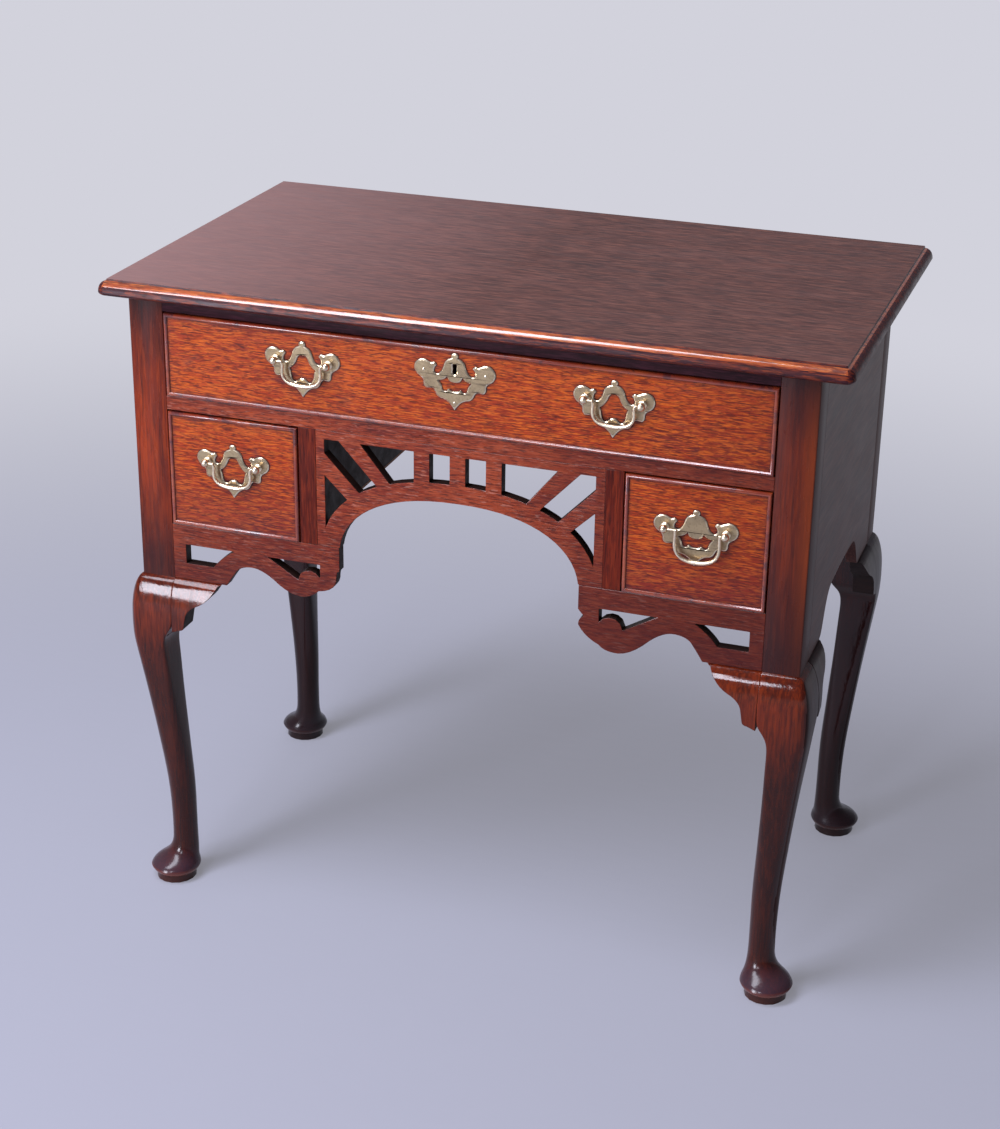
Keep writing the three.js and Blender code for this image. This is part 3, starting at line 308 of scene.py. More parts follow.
# Top: dull brown with dark stains and fine straight flecks, and a painted sheen towards the left
top_oak = material("waxed_oak_top", "#522a20", [
    (("grain", 260, 70, 2.0), 0.42, 0.62, 0.6, "#663a30"),
    (("grain", 120, 30, 3.0), 0.58, 0.7, 0.5, "#331a18"),
    (("grain", 28, 2.4, 2.0), 0.46, 0.6, 0.6, "#82503f"),
    (("grain", 22, 2.2, 2.0), 0.5, 0.62, 0.7, "#28120f"),
    # Painted sheen towards the left
    (("X",), 0, -380, 0.6, "#a07a76"),
], roughness=(0.36, 0.48), bumps=[(120, 80, 0.3), (26, 3, 0.05)], shift=5.2,
    Specular_IOR_Level=0.6)

# Upper half of the top's front moulding: worn through to the orange oak, and rubbed bright
edge_oak = material("rubbed_oak_edge", "#92401f", [
    (("grain", 90, 30, 3.0), 0.42, 0.6, 0.8, "#ac5224"),
    (("grain", 40, 12, 3.0), 0.52, 0.66, 0.65, "#3c161a"),
    (("grain", 18, 2, 2.0), 0.5, 0.6, 0.6, "#cc7236"),
    (("grain", 15, 1.9, 2.0), 0.54, 0.64, 0.6, "#3a1410"),
], roughness=(0.14, 0.26), bumps=[(60, 30, 0.3), (20, 2.6, 0.08)], shift=6.6,
    Coat_Weight=0.8, Coat_Roughness=0.08)

# The rest of the moulding: painted dark as shade, the oak glowing through in streaks
edge_foot_oak = material("dark_oak_edge", "#35131a", [
    (("grain", 70, 16, 3.0), 0.5, 0.64, 0.7, "#662414"),
    (("grain", 18, 1.8, 2.0), 0.5, 0.62, 0.6, "#8a3a1a"),
    (("grain", 14, 1.8, 2.0), 0.52, 0.64, 0.7, "#1a090c"),
], roughness=(0.3, 0.42), bumps=[(20, 2.6, 0.08)], shift=6.2, Specular_IOR_Level=0.2)

# Side boards: seldom waxed, a dull brown with dark streaks from front to back
side_oak = material("oak_side_boards", "#46241e", [
    (("grain", 160, 30, 3.0), 0.42, 0.6, 0.6, "#572e24"),
    (("grain", 50, 2.8, 2.0), 0.46, 0.6, 0.45, "#663e30"),
    (("grain", 40, 2.4, 2.0), 0.5, 0.62, 0.5, "#221010"),
], along="Y", roughness=(0.42, 0.45), bumps=[(30, 2.4, 0.05)], shift=2.2,
    Specular_IOR_Level=0.12)

# Linings: bare and planed, pale and dry. One for boards that run across, one for those that
# run from front to back
inner_oak, deep_inner_oak = [material(name, "#8a5c38", [
    (("grain", 120, 25, 3.0), 0.42, 0.62, 0.6, "#9c6e46"),
    (("grain", 26, 2.8, 2.0), 0.46, 0.6, 0.6, "#653e24"),
], along=along, roughness=(0.6, 0.75), bumps=[(14, 2.4, 0.15)], shift=9.4)
    for name, along in (("planed_oak_linings", "X"), ("planed_oak_sides", "Y"))]

# Partitions in the kneehole and the sawn edges of the piercings: never waxed, and painted near
# black as shade
shade_dark_oak = material("painted_shade_oak", "#20120f", [
    (("grain", 120, 25, 3.0), 0.42, 0.62, 0.6, "#2c1a15"),
    (("grain", 26, 2.8, 2.0), 0.46, 0.6, 0.6, "#150c0a"),
], roughness=(0.5, 0.65), bumps=[(14, 2.4, 0.15)], shift=8.1, Specular_IOR_Level=0.2)

# Flat of the plates: cast brass gone dull and brownish, mottled, with painted shade where it
# meets the posts
brass = material("aged_brass", "#ac9878", [
    (("grain", 9, 9, 3.0), 0.4, 0.65, 0.5, "#928064"),
    (("grain", 2.2, 2.2, 3.0), 0.5, 0.72, 0.45, "#6c5b44"),
    (("corner", 3), 0.8, 0.3, 0.85, "#33281c"),
], roughness=(0.26, 0.4), bumps=[(6, 6, 0.08)], Metallic=1.0)

# Bails, balls and rims of the plates: brass that hands keep bright, with painted shade in its
# crevices
rubbed_brass = material("rubbed_brass", "#f0e0c2", [
    (("grain", 6, 6, 3.0), 0.45, 0.65, 0.4, "#bca98a"),
    (("corner", 1.2), 0.7, 0.2, 0.8, "#33281c"),
], roughness=(0.22, 0.34), bumps=[(5, 5, 0.06)], Metallic=1.0)

# Lock: filed iron, grey with brown patches
iron = material("filed_iron", "#3b3735", [
    (("grain", 10, 10, 3.0), 0.45, 0.65, 0.5, "#4b3a30"),
], roughness=(0.45, 0.6), bumps=[(3, 3, 0.05)], Metallic=1.0)

finishes = {
    "top_oak": top_oak, "case_oak": case_oak, "side_oak": side_oak, "leg_oak": post_oak,
    "drawer_oak": drawer_oak, "inner_oak": inner_oak, "brass": brass, "iron": iron,
}


def finish(piece, surface, *others, choose=None):
    """Gives a piece its surface, or each face the one whose number is chosen for it."""
    piece.data.materials.clear()
    for each in (surface, *others):
        piece.data.materials.append(each)
    for face in piece.data.polygons if choose else ():
        face.material_index = choose(face)


for name, node in frame["nodes"].items():
    low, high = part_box(name)
    runs_back = high.y - low.y > high.x - low.x
    is_deep_lining = slot_of[name] == "inner_oak" and runs_back
    finish(node, deep_inner_oak if is_deep_lining else finishes[slot_of[name]])
for name, surface in (
        ("left_partition", shade_dark_oak), ("right_partition", shade_dark_oak), ("top_rail", shaded_oak),
        ("left_muntin", muntin_oak), ("right_muntin", muntin_oak)):
    finish(frame["nodes"][name], surface)


# Studio: a pale floor, a soft overhead panel and soft light from the front left

BACKDROP = "#d2d2dc"
FLOOR_COLOUR = "#9a9bac"
FLOOR_SIZE = 40
# The floor starts to fade into the backdrop at the first reach from this place, from a share on,
# and is all backdrop past the second
SHADOW_PLACE, SHADOW_REACH, FADE_REACH, FADE_SHARE = (0, -0.8, 0), 1.1, 3.0, 0.3
LAMP_COLOUR = "#eef1ff"
LAMP_AIM = Vector((0, 0, 0.45))
# Each panel's name, place, size and watts
PANELS = [
    ("overhead_panel", (-0.9, -1.15, 2.7), (0.85, 2.4), 92),
    ("front_panel", (-1.85, -3.2, 1.0), (0.85, 1.1), 78),
    ("small_panel", (-0.35, -3.1, 1.45), (0.4, 0.4), 13),
]
# Light from all round: its colours on the left and right, and where one turns to the other
AROUND_LEFT, AROUND_RIGHT, AROUND_START, AROUND_END = "#9c9da8", "#6a6872", -0.6, 0.8


def seen_directly(tree):
    """One where the camera or a shiny surface looks at it, and nothing for the light it gives."""
    path = add(tree, "ShaderNodeLightPath").outputs
    either = add(tree, "ShaderNodeMath", {
        FIRST: path["Is Camera Ray"], SECOND: path["Is Glossy Ray"],
    }, operation="MAXIMUM")
    return add(tree, "ShaderNodeMath", {
        FIRST: either.outputs[0], SECOND: path["Is Transmission Ray"],
    }, operation="MAXIMUM").outputs[0]


def add_floor():
    """A pale matt floor that fades into the backdrop away from the lowboy and its shadow."""
    bpy.ops.mesh.primitive_plane_add(size=FLOOR_SIZE, location=(0, 0, 0))
    floor = bpy.context.object
    floor.name = "floor"
    pale = material("pale_floor", FLOOR_COLOUR, [], roughness=(0.6, 0.7))
    tree = pale.node_tree
    place = add(tree, "ShaderNodeTexCoord").outputs["Object"]
    reach = add(tree, "ShaderNodeVectorMath", {FIRST: place, SECOND: SHADOW_PLACE},
                operation="DISTANCE").outputs["Value"]
    far = add(tree, "ShaderNodeMapRange", {
        RANGE_VALUE: reach, RANGE_LOW: SHADOW_REACH, RANGE_HIGH: FADE_REACH,
        RANGE_START: FADE_SHARE,
    }, interpolation_type="SMOOTHSTEP")
    share = add(tree, "ShaderNodeMath", {FIRST: far.outputs[0], SECOND: seen_directly(tree)},
                operation="MULTIPLY")
    glow = add(tree, "ShaderNodeEmission", {"Color": linear(BACKDROP), "Strength": 1.0})
    mixed = add(tree, "ShaderNodeMixShader", {
        SHADER_FACTOR: share.outputs[0], SHADER_UNDER: tree.nodes["Principled BSDF"].outputs[0],
        SHADER_OVER: glow.outputs[0],
    })
    tree.links.new(mixed.outputs[0], tree.nodes["Material Output"].inputs["Surface"])
    finish(floor, pale)


def add_panel(name, place, size, watts):
    data = bpy.data.lights.new(name, "AREA")
    data.shape = "RECTANGLE"
    data.size, data.size_y = size
    data.energy = watts
    data.color = linear(LAMP_COLOUR)[:3]
    lamp = bpy.data.objects.new(name, data)
    place = Vector(place)
    turn = (LAMP_AIM - place).to_track_quat("-Z", "Y").to_matrix().to_4x4()
    lamp.matrix_world = Matrix.Translation(place) @ turn
    bpy.context.scene.collection.objects.link(lamp)


def add_world():
    """Soft surroundings, brighter on the left, which the camera sees as the plain backdrop."""
    world = bpy.data.worlds.new("studio")
    world.use_nodes = True
    tree = world.node_tree
    light = tree.nodes["Background"]
    way = add(tree, "ShaderNodeTexCoord").outputs["Generated"]
    across = add(tree, "ShaderNodeSeparateXYZ", {"Vector": way}).outputs["X"]
    rightward = add(tree, "ShaderNodeMapRange", {
        RANGE_VALUE: across, RANGE_LOW: AROUND_START, RANGE_HIGH: AROUND_END,
    }).outputs[0]
    around = add(tree, "ShaderNodeMix", {
        MIX_FACTOR: rightward, MIX_UNDER: linear(AROUND_LEFT), MIX_OVER: linear(AROUND_RIGHT),
    }, data_type="RGBA")
    tree.links.new(around.outputs[MIX_RESULT], light.inputs["Color"])
    light.inputs["Strength"].default_value = 1.0
    plain = add(tree, "ShaderNodeBackground", {"Color": linear(BACKDROP), "Strength": 1.0})
    seen = add(tree, "ShaderNodeLightPath").outputs["Is Camera Ray"]
    mixed = add(tree, "ShaderNodeMixShader", {
        SHADER_FACTOR: seen, SHADER_UNDER: light.outputs[0], SHADER_OVER: plain.outputs[0],
    })
    tree.links.new(mixed.outputs[0], tree.nodes["World Output"].inputs["Surface"])
    bpy.context.scene.world = world


add_floor()
for panel in PANELS:
    add_panel(*panel)
add_world()


# Pieces

def select_only(piece):
    bpy.ops.object.select_all(action="DESELECT")
    piece.select_set(True)
    bpy.context.view_layer.objects.active = piece


def edit(piece):
    """Opens a piece in edit mode, with all of it selected."""
    select_only(piece)
    bpy.ops.object.mode_set(mode="EDIT")
    bpy.ops.mesh.select_mode(type="EDGE")
    bpy.ops.mesh.select_all(action="SELECT")


def edited():
    bpy.ops.object.mode_set(mode="OBJECT")


def smooth(piece, degrees):
    select_only(piece)
    bpy.ops.object.shade_smooth_by_angle(angle=radians(degrees))


def apply_modifier(piece, kind, **settings):
    modifier = piece.modifiers.new(kind.lower(), kind)
    for name, value in settings.items():
        setattr(modifier, name, value)
    select_only(piece)
    bpy.ops.object.modifier_apply(modifier=modifier.name)


def add_piece(name, data):
    piece = bpy.data.objects.new(name, data)
    bpy.context.scene.collection.objects.link(piece)
    return piece


def join(pieces, name):
    bpy.ops.object.select_all(action="DESELECT")
    for piece in pieces:
        piece.select_set(True)
    bpy.context.view_layer.objects.active = pieces[0]
    bpy.ops.object.join()
    pieces[0].name = name
    return pieces[0]


def stands_for(piece, node):
    """The piece takes the node's place and body, and the node is hidden."""
    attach(piece, body_of[node])
    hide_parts(node)


# Smoothing angles in degrees, and how far the arrises are worn, in mm
BOARD_SMOOTHING, BEAD_SMOOTHING, TOP_SMOOTHING, LEG_SMOOTHING = 20, 50, 30, 32
PLATE_SMOOTHING, BAIL_SMOOTHING = 30, 40
ARRIS, BRACKET_ARRIS = 0.6, 0.5
FLAT_DEGREES, ARRIS_DEGREES = 0.5, 40
# Which way a face looks, by its normal's share that way
LEVEL_FACE, RAISED_FACE, END_FACE = 0.999, 0.4, 0.2
PIERCED_FACE, SAWN_FACE, SAWN_UNDERSIDE = 0.5, 0.7, -0.3
OUTER_FACE, FRONT_FACE, PLATE_FLAT = 0.9, 0.9, 0.95


def joined_copy(node, name):
    """A copy of a node's mesh, its loose triangles joined along their shared edges."""
    piece = add_piece(name, frame["nodes"][node].data.copy())
    select_only(piece)
    bpy.ops.mesh.customdata_custom_splitnormals_clear()
    edit(piece)
    bpy.ops.mesh.remove_doubles(threshold=SAME_POINT)
    edited()
    return piece


def make_flats_whole(piece):
    """Takes out the edges that cross a flat face."""
    edit(piece)
    bpy.ops.mesh.dissolve_limited(angle_limit=radians(FLAT_DEGREES))
    edited()


def softened(node, arris):
    """A board whose arrises are worn round."""
    piece = joined_copy(node, f"{node}_board")
    make_flats_whole(piece)
    apply_modifier(piece, "BEVEL", width=arris * MM, segments=2, limit_method="ANGLE",
                   angle_limit=radians(ARRIS_DEGREES), use_clamp_overlap=False)
    smooth(piece, BOARD_SMOOTHING)
    stands_for(piece, node)
    return piece


def pierced_surface(face):
    """Waxed on the faces of a pierced board, and painted dark as shade on its sawn edges."""
    return int(abs(face.normal.y) < PIERCED_FACE)


def top_surface(face):
    """The flats of the top, the bright upper half of its front moulding, and the rest painted dark as shade."""
    if abs(face.normal.z) > LEVEL_FACE:
        return 0
    return 1 if face.normal.z > RAISED_FACE and abs(face.normal.x) < END_FACE else 2


for node in ("top_rail", "drawer_rail", "left_muntin", "left_side", "right_muntin", "right_side"):
    softened(node, ARRIS)
for node in ("fret_panel", "left_apron", "right_apron"):
    finish(softened(node, ARRIS), case_oak, shade_dark_oak, choose=pierced_surface)
for drawer in ("long_drawer", "left_drawer", "right_drawer"):
    bead = joined_copy(f"{drawer}_cock_bead", f"{drawer}_bead_moulding")
    smooth(bead, BEAD_SMOOTHING)
    finish(bead, bead_oak)
    stands_for(bead, f"{drawer}_cock_bead")
top = joined_copy("top", "top_board")
make_flats_whole(top)
smooth(top, TOP_SMOOTHING)
finish(top, top_oak, edge_oak, edge_foot_oak, choose=top_surface)
stands_for(top, "top")


# Legs: the shin, knee and foot are made smooth, and the square post above stays
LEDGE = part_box("left_front_bracket")[1].z
DISC_HEIGHT, RIM_HEIGHT = 8.0, 15.0
# Rings of the foot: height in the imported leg, then the height and radius of the worn pad, in mm
FOOT_RINGS = [
    (0, 0, 22.6), (7, DISC_HEIGHT, 22.6), (7.4, 9, 24.6), (10.2, 11.5, 27.2),
    (15, RIM_HEIGHT, 28.6), (22, 19.5, 27), (27.5, 24, 23), (33.5, 29, 18.6), (38, 35, 16),
    (44, 42, 14.7), (50, 50, 14.2),
]
SAME_RING = 0.05
# Edges that stay sharp when the shin is made smooth: height and crease
CREASES = [(0, 1), (DISC_HEIGHT * MM, 1), (RIM_HEIGHT * MM, 0.7), (LEDGE, 1)]
QUAD_DEGREES = 60
# The dark outer side of the shin starts at the first height, and has its whole width, given as a
# share of the normal, at twice that height
SIDE_START, SIDE_SPREAD = 50 * MM, 0.2


def select_edges(piece, wanted):
    """Selects the edges that pass a test on their two ends, and opens the piece for editing."""
    edit(piece)
    bpy.ops.mesh.select_all(action="DESELECT")
    edited()
    places = [vertex.co for vertex in piece.data.vertices]
    for edge in piece.data.edges:
        edge.select = wanted(*[places[k] for k in edge.vertices])
    bpy.ops.object.mode_set(mode="EDIT")


def half_of(leg, keeps_top):
    """The part of a leg over or under the ledge, closed at the cut."""
    half = add_piece(leg.name, leg.data.copy())
    edit(half)
    bpy.ops.mesh.bisect(plane_co=(0, 0, LEDGE), plane_no=(0, 0, 1), use_fill=True,
                        threshold=NEAR, clear_inner=keeps_top, clear_outer=not keeps_top)
    edited()
    return half


def shape_foot(shin):
    """Moves the rings of the foot to their heights and radii, each about its own middle."""
    for packed_height, height, radius in FOOT_RINGS:
        ring = [vertex for vertex in shin.data.vertices
                if abs(vertex.co.z / MM - packed_height) < SAME_RING]
        middle = sum((vertex.co for vertex in ring), Vector()) / len(ring)
        for vertex in ring:
            way = (vertex.co - middle).normalized()
            vertex.co = middle + way * radius * MM
            vertex.co.z = height * MM


def add_leg(node):
    outward = 1 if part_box(node)[1].x > 0 else -1

    def post_surface(face):
        return int(face.normal.x * outward > OUTER_FACE)

    def shin_surface(face):
        rise = min(1, face.center.z / SIDE_START - 1)
        return int(face.normal.x * outward > 1 - SIDE_SPREAD * rise)

    whole = joined_copy(node, "leg")
    post, shin = half_of(whole, True), half_of(whole, False)
    bpy.data.objects.remove(whole)
    finish(post, post_oak, post_side_oak, choose=post_surface)
    shape_foot(shin)
    edit(shin)
    bpy.ops.mesh.tris_convert_to_quads(face_threshold=radians(QUAD_DEGREES),
                                       shape_threshold=radians(QUAD_DEGREES))
    edited()
    for height, crease in CREASES:
        select_edges(shin, lambda a, b: abs(a.z - height) < NEAR and abs(b.z - height) < NEAR)
        bpy.ops.transform.edge_crease(value=crease)
        edited()
    apply_modifier(shin, "SUBSURF", levels=2, render_levels=2)
    finish(shin, knee_oak, knee_side_oak, choose=shin_surface)
    leg = join([post, shin], f"{node}_timber")
    smooth(leg, LEG_SMOOTHING)
    stands_for(leg, node)


def add_bracket(node, along, surface):
    """A knee bracket, waxed on its face and painted dark as shade on its sawn edges, along its own board."""
    finish(softened(node, BRACKET_ARRIS), surface, shade_dark_oak,
           choose=lambda face: int(abs(face.normal[along]) > SAWN_FACE
                                   or face.normal.z < SAWN_UNDERSIDE))


for side in ("left", "right"):
    for end in ("front", "rear"):
        add_leg(f"{side}_{end}_leg")
    add_bracket(f"{side}_front_bracket", AXES["X"], knee_oak)
    add_bracket(f"{side}_front_side_bracket", AXES["Y"], knee_side_oak)
    add_bracket(f"{side}_rear_side_bracket", AXES["Y"], knee_side_oak)


# Brasses, in millimetres from the middle of the lobes, seen from the front
LOBE_REACH, WIDE_LOBE_REACH, LOBE_RADIUS, LOBE_STEPS = 31.5, 33.0, 9.1, 18
FINIAL_HEIGHT, TIP_DROP = 18.0, 40.0
PLATE_THICKNESS, RIM_WIDTH, RIM_DEPTH = 1.8, 1.2, 1.0
BALL_RADIUS, BALL_REACH, BALL_DROP = 4.2, 8.0, 2.8
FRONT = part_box("long_drawer_front")[0].y

# Outline right of the middle, as a start and then curves of a control and an end, in shares
# of the lobe's reach and of the height over or under it. The lobe, an arc, comes between the
# shoulder and the foot
LOBE_START = 0.81
FINIAL_SHARES = [(0, 1), ((0.1, 1), (0.105, 0.86)), ((0.105, 0.77), (0.075, 0.73))]
SHOULDER_SHARES = [
    (0.075, 0.73), ((0.29, 0.66), (0.33, 0.33)), ((0.38, -0.03), (0.47, -0.17)),
    ((0.57, -0.33), (0.65, -0.14)), ((0.67, 0.08), (0.57, 0.25)), ((0.62, 0.4), (0.67, 0.39)),
    ((0.74, 0.3), (LOBE_START, 0.4)),
]
FOOT_SHARES = [
    (1.1, -0.22), ((0.97, -0.27), (0.985, -0.38)), ((0.98, -0.5), (0.87, -0.5)),
    ((0.78, -0.49), (0.72, -0.48)), ((0.65, -0.5), (0.6, -0.6)), ((0.54, -0.72), (0.4, -0.73)),
    ((0.25, -0.75), (0.14, -0.85)), ((0.06, -0.93), (0, -1)),
]
OPEN_HOLE_SHARES = [
    (0, 0.105), ((0.14, 0.11), (0.19, -0.015)), ((0.27, -0.19), (0.454, -0.265)),
    ((0.4, -0.33), (0.4, -0.42)), ((0.36, -0.62), (0.238, -0.61)), ((0.17, -0.59), (0.13, -0.55)),
    ((0.07, -0.5), (0, -0.51)),
]
LENS_HOLE_SHARES = [
    (0, -0.29), ((0.18, -0.29), (0.215, -0.2)), ((0.23, -0.16), (0.25, -0.155)),
    ((0.32, -0.25), (0.53, -0.275)), ((0.43, -0.35), (0.41, -0.43)), ((0.39, -0.55), (0.3, -0.545)),
    ((0.24, -0.54), (0.215, -0.485)), ((0.18, -0.46), (0.15, -0.5)), ((0.08, -0.54), (0, -0.53)),
]
CURVE_STEPS = 5
KEYHOLE_TOP, KEYHOLE_FOOT, KEYHOLE_HALF = 8.0, -3.4, 2.4
KEYHOLE_WAIST, KEYHOLE_STEPS = 0.8, 6
# How much of the rim's width a point must keep from every outline
RIM_CLEARANCE = 0.96


def curved(shares, width, height):
    """Points along quadratic curves given in shares of a width and a height."""
    start, *curves = shares
    points = [Vector((start[0] * width, start[1] * height))]
    for control, end in curves:
        control = Vector((control[0] * width, control[1] * height))
        end = Vector((end[0] * width, end[1] * height))
        start = points[-1]
        for k in range(1, CURVE_STEPS + 1):
            t = k / CURVE_STEPS
            points.append(start * (1 - t) ** 2 + control * 2 * t * (1 - t) + end * t ** 2)
    return points


def arc(centre, radius, begin, end, steps):
    angles = [begin + (end - begin) * k / steps for k in range(steps + 1)]
    return [centre + radius * Vector((cos(angle), sin(angle))) for angle in angles]


def mirrored(right):
    """A closed outline from its right half, which starts and ends on the middle."""
    return right + [Vector((-point.x, point.y)) for point in right[-2:0:-1]]


def plate_outline(lobe_reach):
    begin = acos((LOBE_START - 1) * LOBE_REACH / LOBE_RADIUS)
    lobe = arc(Vector((lobe_reach, 0)), LOBE_RADIUS, begin, -begin * 2 / 3, LOBE_STEPS)
    return mirrored(curved(FINIAL_SHARES, lobe_reach, FINIAL_HEIGHT)
                    + curved(SHOULDER_SHARES, lobe_reach, FINIAL_HEIGHT)[1:]
                    + lobe[1:]
                    + curved(FOOT_SHARES, lobe_reach, TIP_DROP))


def keyhole_outline():
    top = Vector((0, KEYHOLE_TOP - KEYHOLE_HALF))
    foot = Vector((0, KEYHOLE_FOOT + KEYHOLE_HALF))
    waist = Vector((KEYHOLE_HALF * KEYHOLE_WAIST, (top.y + foot.y) / 2))
    return mirrored(arc(top, KEYHOLE_HALF, pi / 2, 0, KEYHOLE_STEPS) + [waist]
                    + arc(foot, KEYHOLE_HALF, 0, -pi / 2, KEYHOLE_STEPS))


def distance(point, begin, end):
    """How far a point is from a straight edge."""
    run = end - begin
    share = min(max((point - begin).dot(run) / run.dot(run), 0), 1)
    return (point - begin - run * share).length


def rim_places(outlines):
    """Each point of the outlines, the outer one first, with its place inside the filed rim. Where
    a sharp corner leaves no room, a point goes to the nearest one that has it."""
    edges = [(outline[k - 1], outline[k]) for outline in outlines for k in range(len(outline))]
    pairs = []
    for number, outline in enumerate(outlines):
        count = len(outline)
        area = sum(outline[k - 1].x * outline[k].y - outline[k].x * outline[k - 1].y
                   for k in range(count))
        inward = (1 if area > 0 else -1) * (1 if number else -1)
        places = []
        for k, point in enumerate(outline):
            before = (point - outline[k - 1]).normalized()
            after = (outline[(k + 1) % count] - point).normalized()
            run = (before + after).normalized()
            places.append(point + inward * RIM_WIDTH * Vector((run.y, -run.x)))
        free = [min(distance(place, *edge) for edge in edges) > RIM_CLEARANCE * RIM_WIDTH
                for place in places]
        for k, point in enumerate(outline):
            step = min((s for s in range(-count // 2, count // 2) if free[(k + s) % count]),
                       key=abs)
            pairs.append((point, places[(k + step) % count]))
    return pairs


def add_sheet(name, outlines):
    """A flat sheet of brass, cut to outlines and holes, its front rim filed to a bevel."""
    flat = bpy.data.curves.new(name, "CURVE")
    flat.dimensions = "2D"
    flat.fill_mode = "BOTH"
    thickness = PLATE_THICKNESS - RIM_DEPTH
    flat.extrude = thickness / 2 * MM
    for outline in outlines:
        spline = flat.splines.new("POLY")
        spline.points.add(len(outline) - 1)
        for point, place in zip(spline.points, outline):
            point.co = (place.x * MM, place.y * MM, 0, 1)
        spline.use_cyclic_u = True
    select_only(add_piece(name, flat))
    bpy.ops.object.convert(target="MESH")
    piece = bpy.context.object
    piece.data.transform(Matrix.Rotation(pi / 2, 4, "X"))
    piece.data.transform(Matrix.Translation((0, FRONT - thickness / 2 * MM, 0)))
    edit(piece)
    bpy.ops.mesh.remove_doubles(threshold=NEAR)
    bpy.ops.mesh.normals_make_consistent(inside=False)
    edited()
    for face in piece.data.polygons:
        face.select = face.normal.y < -FRONT_FACE
    bpy.ops.object.mode_set(mode="EDIT")
    bpy.ops.mesh.select_mode(type="FACE")
    bpy.ops.mesh.extrude_region_move(TRANSFORM_OT_translate={"value": (0, -RIM_DEPTH * MM, 0)})
    edited()
    face_level = FRONT - PLATE_THICKNESS * MM
    rims = rim_places(outlines)
    for vertex in piece.data.vertices:
        if vertex.co.y < face_level + NEAR:
            x, z = vertex.co.x / MM, vertex.co.z / MM
            place = min(rims, key=lambda pair: (pair[0].x - x) ** 2 + (pair[0].y - z) ** 2)[1]
            vertex.co.x, vertex.co.z = place.x * MM, place.y * MM
    edit(piece)
    bpy.ops.mesh.remove_doubles(threshold=NEAR)
    edited()
    return piece


def turned(profile, steps):
    """A brass turned about Y: its profile is (radius, reach out of the drawer), in mm."""
    mesh = bpy.data.meshes.new("turning")
    mesh.from_pydata([(radius * MM, -reach * MM, 0) for radius, reach in profile],
                     [(k, k + 1) for k in range(len(profile) - 1)], [])
    piece = add_piece("turning", mesh)
    edit(piece)
    bpy.ops.mesh.spin(steps=steps, angle=2 * pi, center=(0, 0, 0), axis=(0, 1, 0))
    bpy.ops.mesh.select_all(action="SELECT")
    bpy.ops.mesh.remove_doubles(threshold=NEAR)
    bpy.ops.mesh.normals_make_consistent(inside=False)
    edited()
    return piece


def add_plate(node, name, outlines, turnings):
    """A plate, dull on its flat and rubbed on its rim, with rubbed turnings on it. A turning is
    (profile, steps, mm across from the middle, mm up from the lobes)."""
    low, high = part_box(node)
    x, lobe_z = (low.x + high.x) / 2 / MM, high.z / MM - FINIAL_HEIGHT
    sheet = add_sheet(node, outlines)
    sheet.data.transform(Matrix.Translation((x * MM, 0, lobe_z * MM)))
    finish(sheet, brass, rubbed_brass, choose=lambda face: int(abs(face.normal.y) < PLATE_FLAT))
    pieces = [sheet]
    for profile, steps, across, up in turnings:
        piece = turned(profile, steps)
        place = ((x + across) * MM, FRONT, (lobe_z + up) * MM)
        piece.data.transform(Matrix.Translation(place))
        finish(piece, rubbed_brass)
        pieces.append(piece)
    plate = join(pieces, name)
    smooth(plate, PLATE_SMOOTHING)
    stands_for(plate, node)


DRAWER_FRONT_THICKNESS = 19.0
SHANK_RADIUS, SHANK_END, NUT_RADIUS, NUT_THICKNESS, NUT_CHAMFER = 1.8, 1.0, 4.6, 3.0, 0.6
# Collar between plate and ball, as (radius, reach)
COLLAR = [(4.4, 2.2), (4.0, 2.7), (3.1, 2.9), (2.4, 3.3)]
NECK_RADIUS, NECK_REACH = 2.2, 3.8
BALL_STEPS, POST_STEPS = 12, 28


def ball_profile():
    """From the nut inside the drawer, through its front and the plate, to the end of the ball."""
    neck = sqrt(BALL_RADIUS ** 2 - NECK_RADIUS ** 2)
    begin = -pi / 2 + acos(neck / BALL_RADIUS)
    angles = [begin + (pi / 2 - begin) * k / BALL_STEPS for k in range(BALL_STEPS)]
    ball = [(BALL_RADIUS * cos(angle), BALL_REACH + BALL_RADIUS * sin(angle)) for angle in angles]
    inside = -DRAWER_FRONT_THICKNESS
    nut_end = inside - NUT_THICKNESS
    return [
        (0, nut_end - SHANK_END), (SHANK_RADIUS, nut_end - SHANK_END), (SHANK_RADIUS, nut_end),
        (NUT_RADIUS - NUT_CHAMFER, nut_end), (NUT_RADIUS, nut_end + NUT_CHAMFER),
        (NUT_RADIUS, inside), (SHANK_RADIUS, inside), (SHANK_RADIUS, PLATE_THICKNESS / 2),
        (COLLAR[0][0], PLATE_THICKNESS / 2), *COLLAR, (NECK_RADIUS, NECK_REACH), *ball,
        (0, BALL_REACH + BALL_RADIUS),
    ]


# The usual handle, and the wider one of the right drawer. A bail's loop hangs a little right of
# the middle, by its shift
USUAL_HANDLE = {
    "lobe_reach": LOBE_REACH, "hole": OPEN_HOLE_SHARES, "ball_spacing": 57.0,
    "bail_half_width": 20.7, "bail_drop": 23.6, "bail_shift": 1.5,
}
WIDE_HANDLE = {
    "lobe_reach": WIDE_LOBE_REACH, "hole": LENS_HOLE_SHARES, "ball_spacing": 61.0,
    "bail_half_width": 22.3, "bail_drop": 31.0, "bail_shift": 3.4,
}
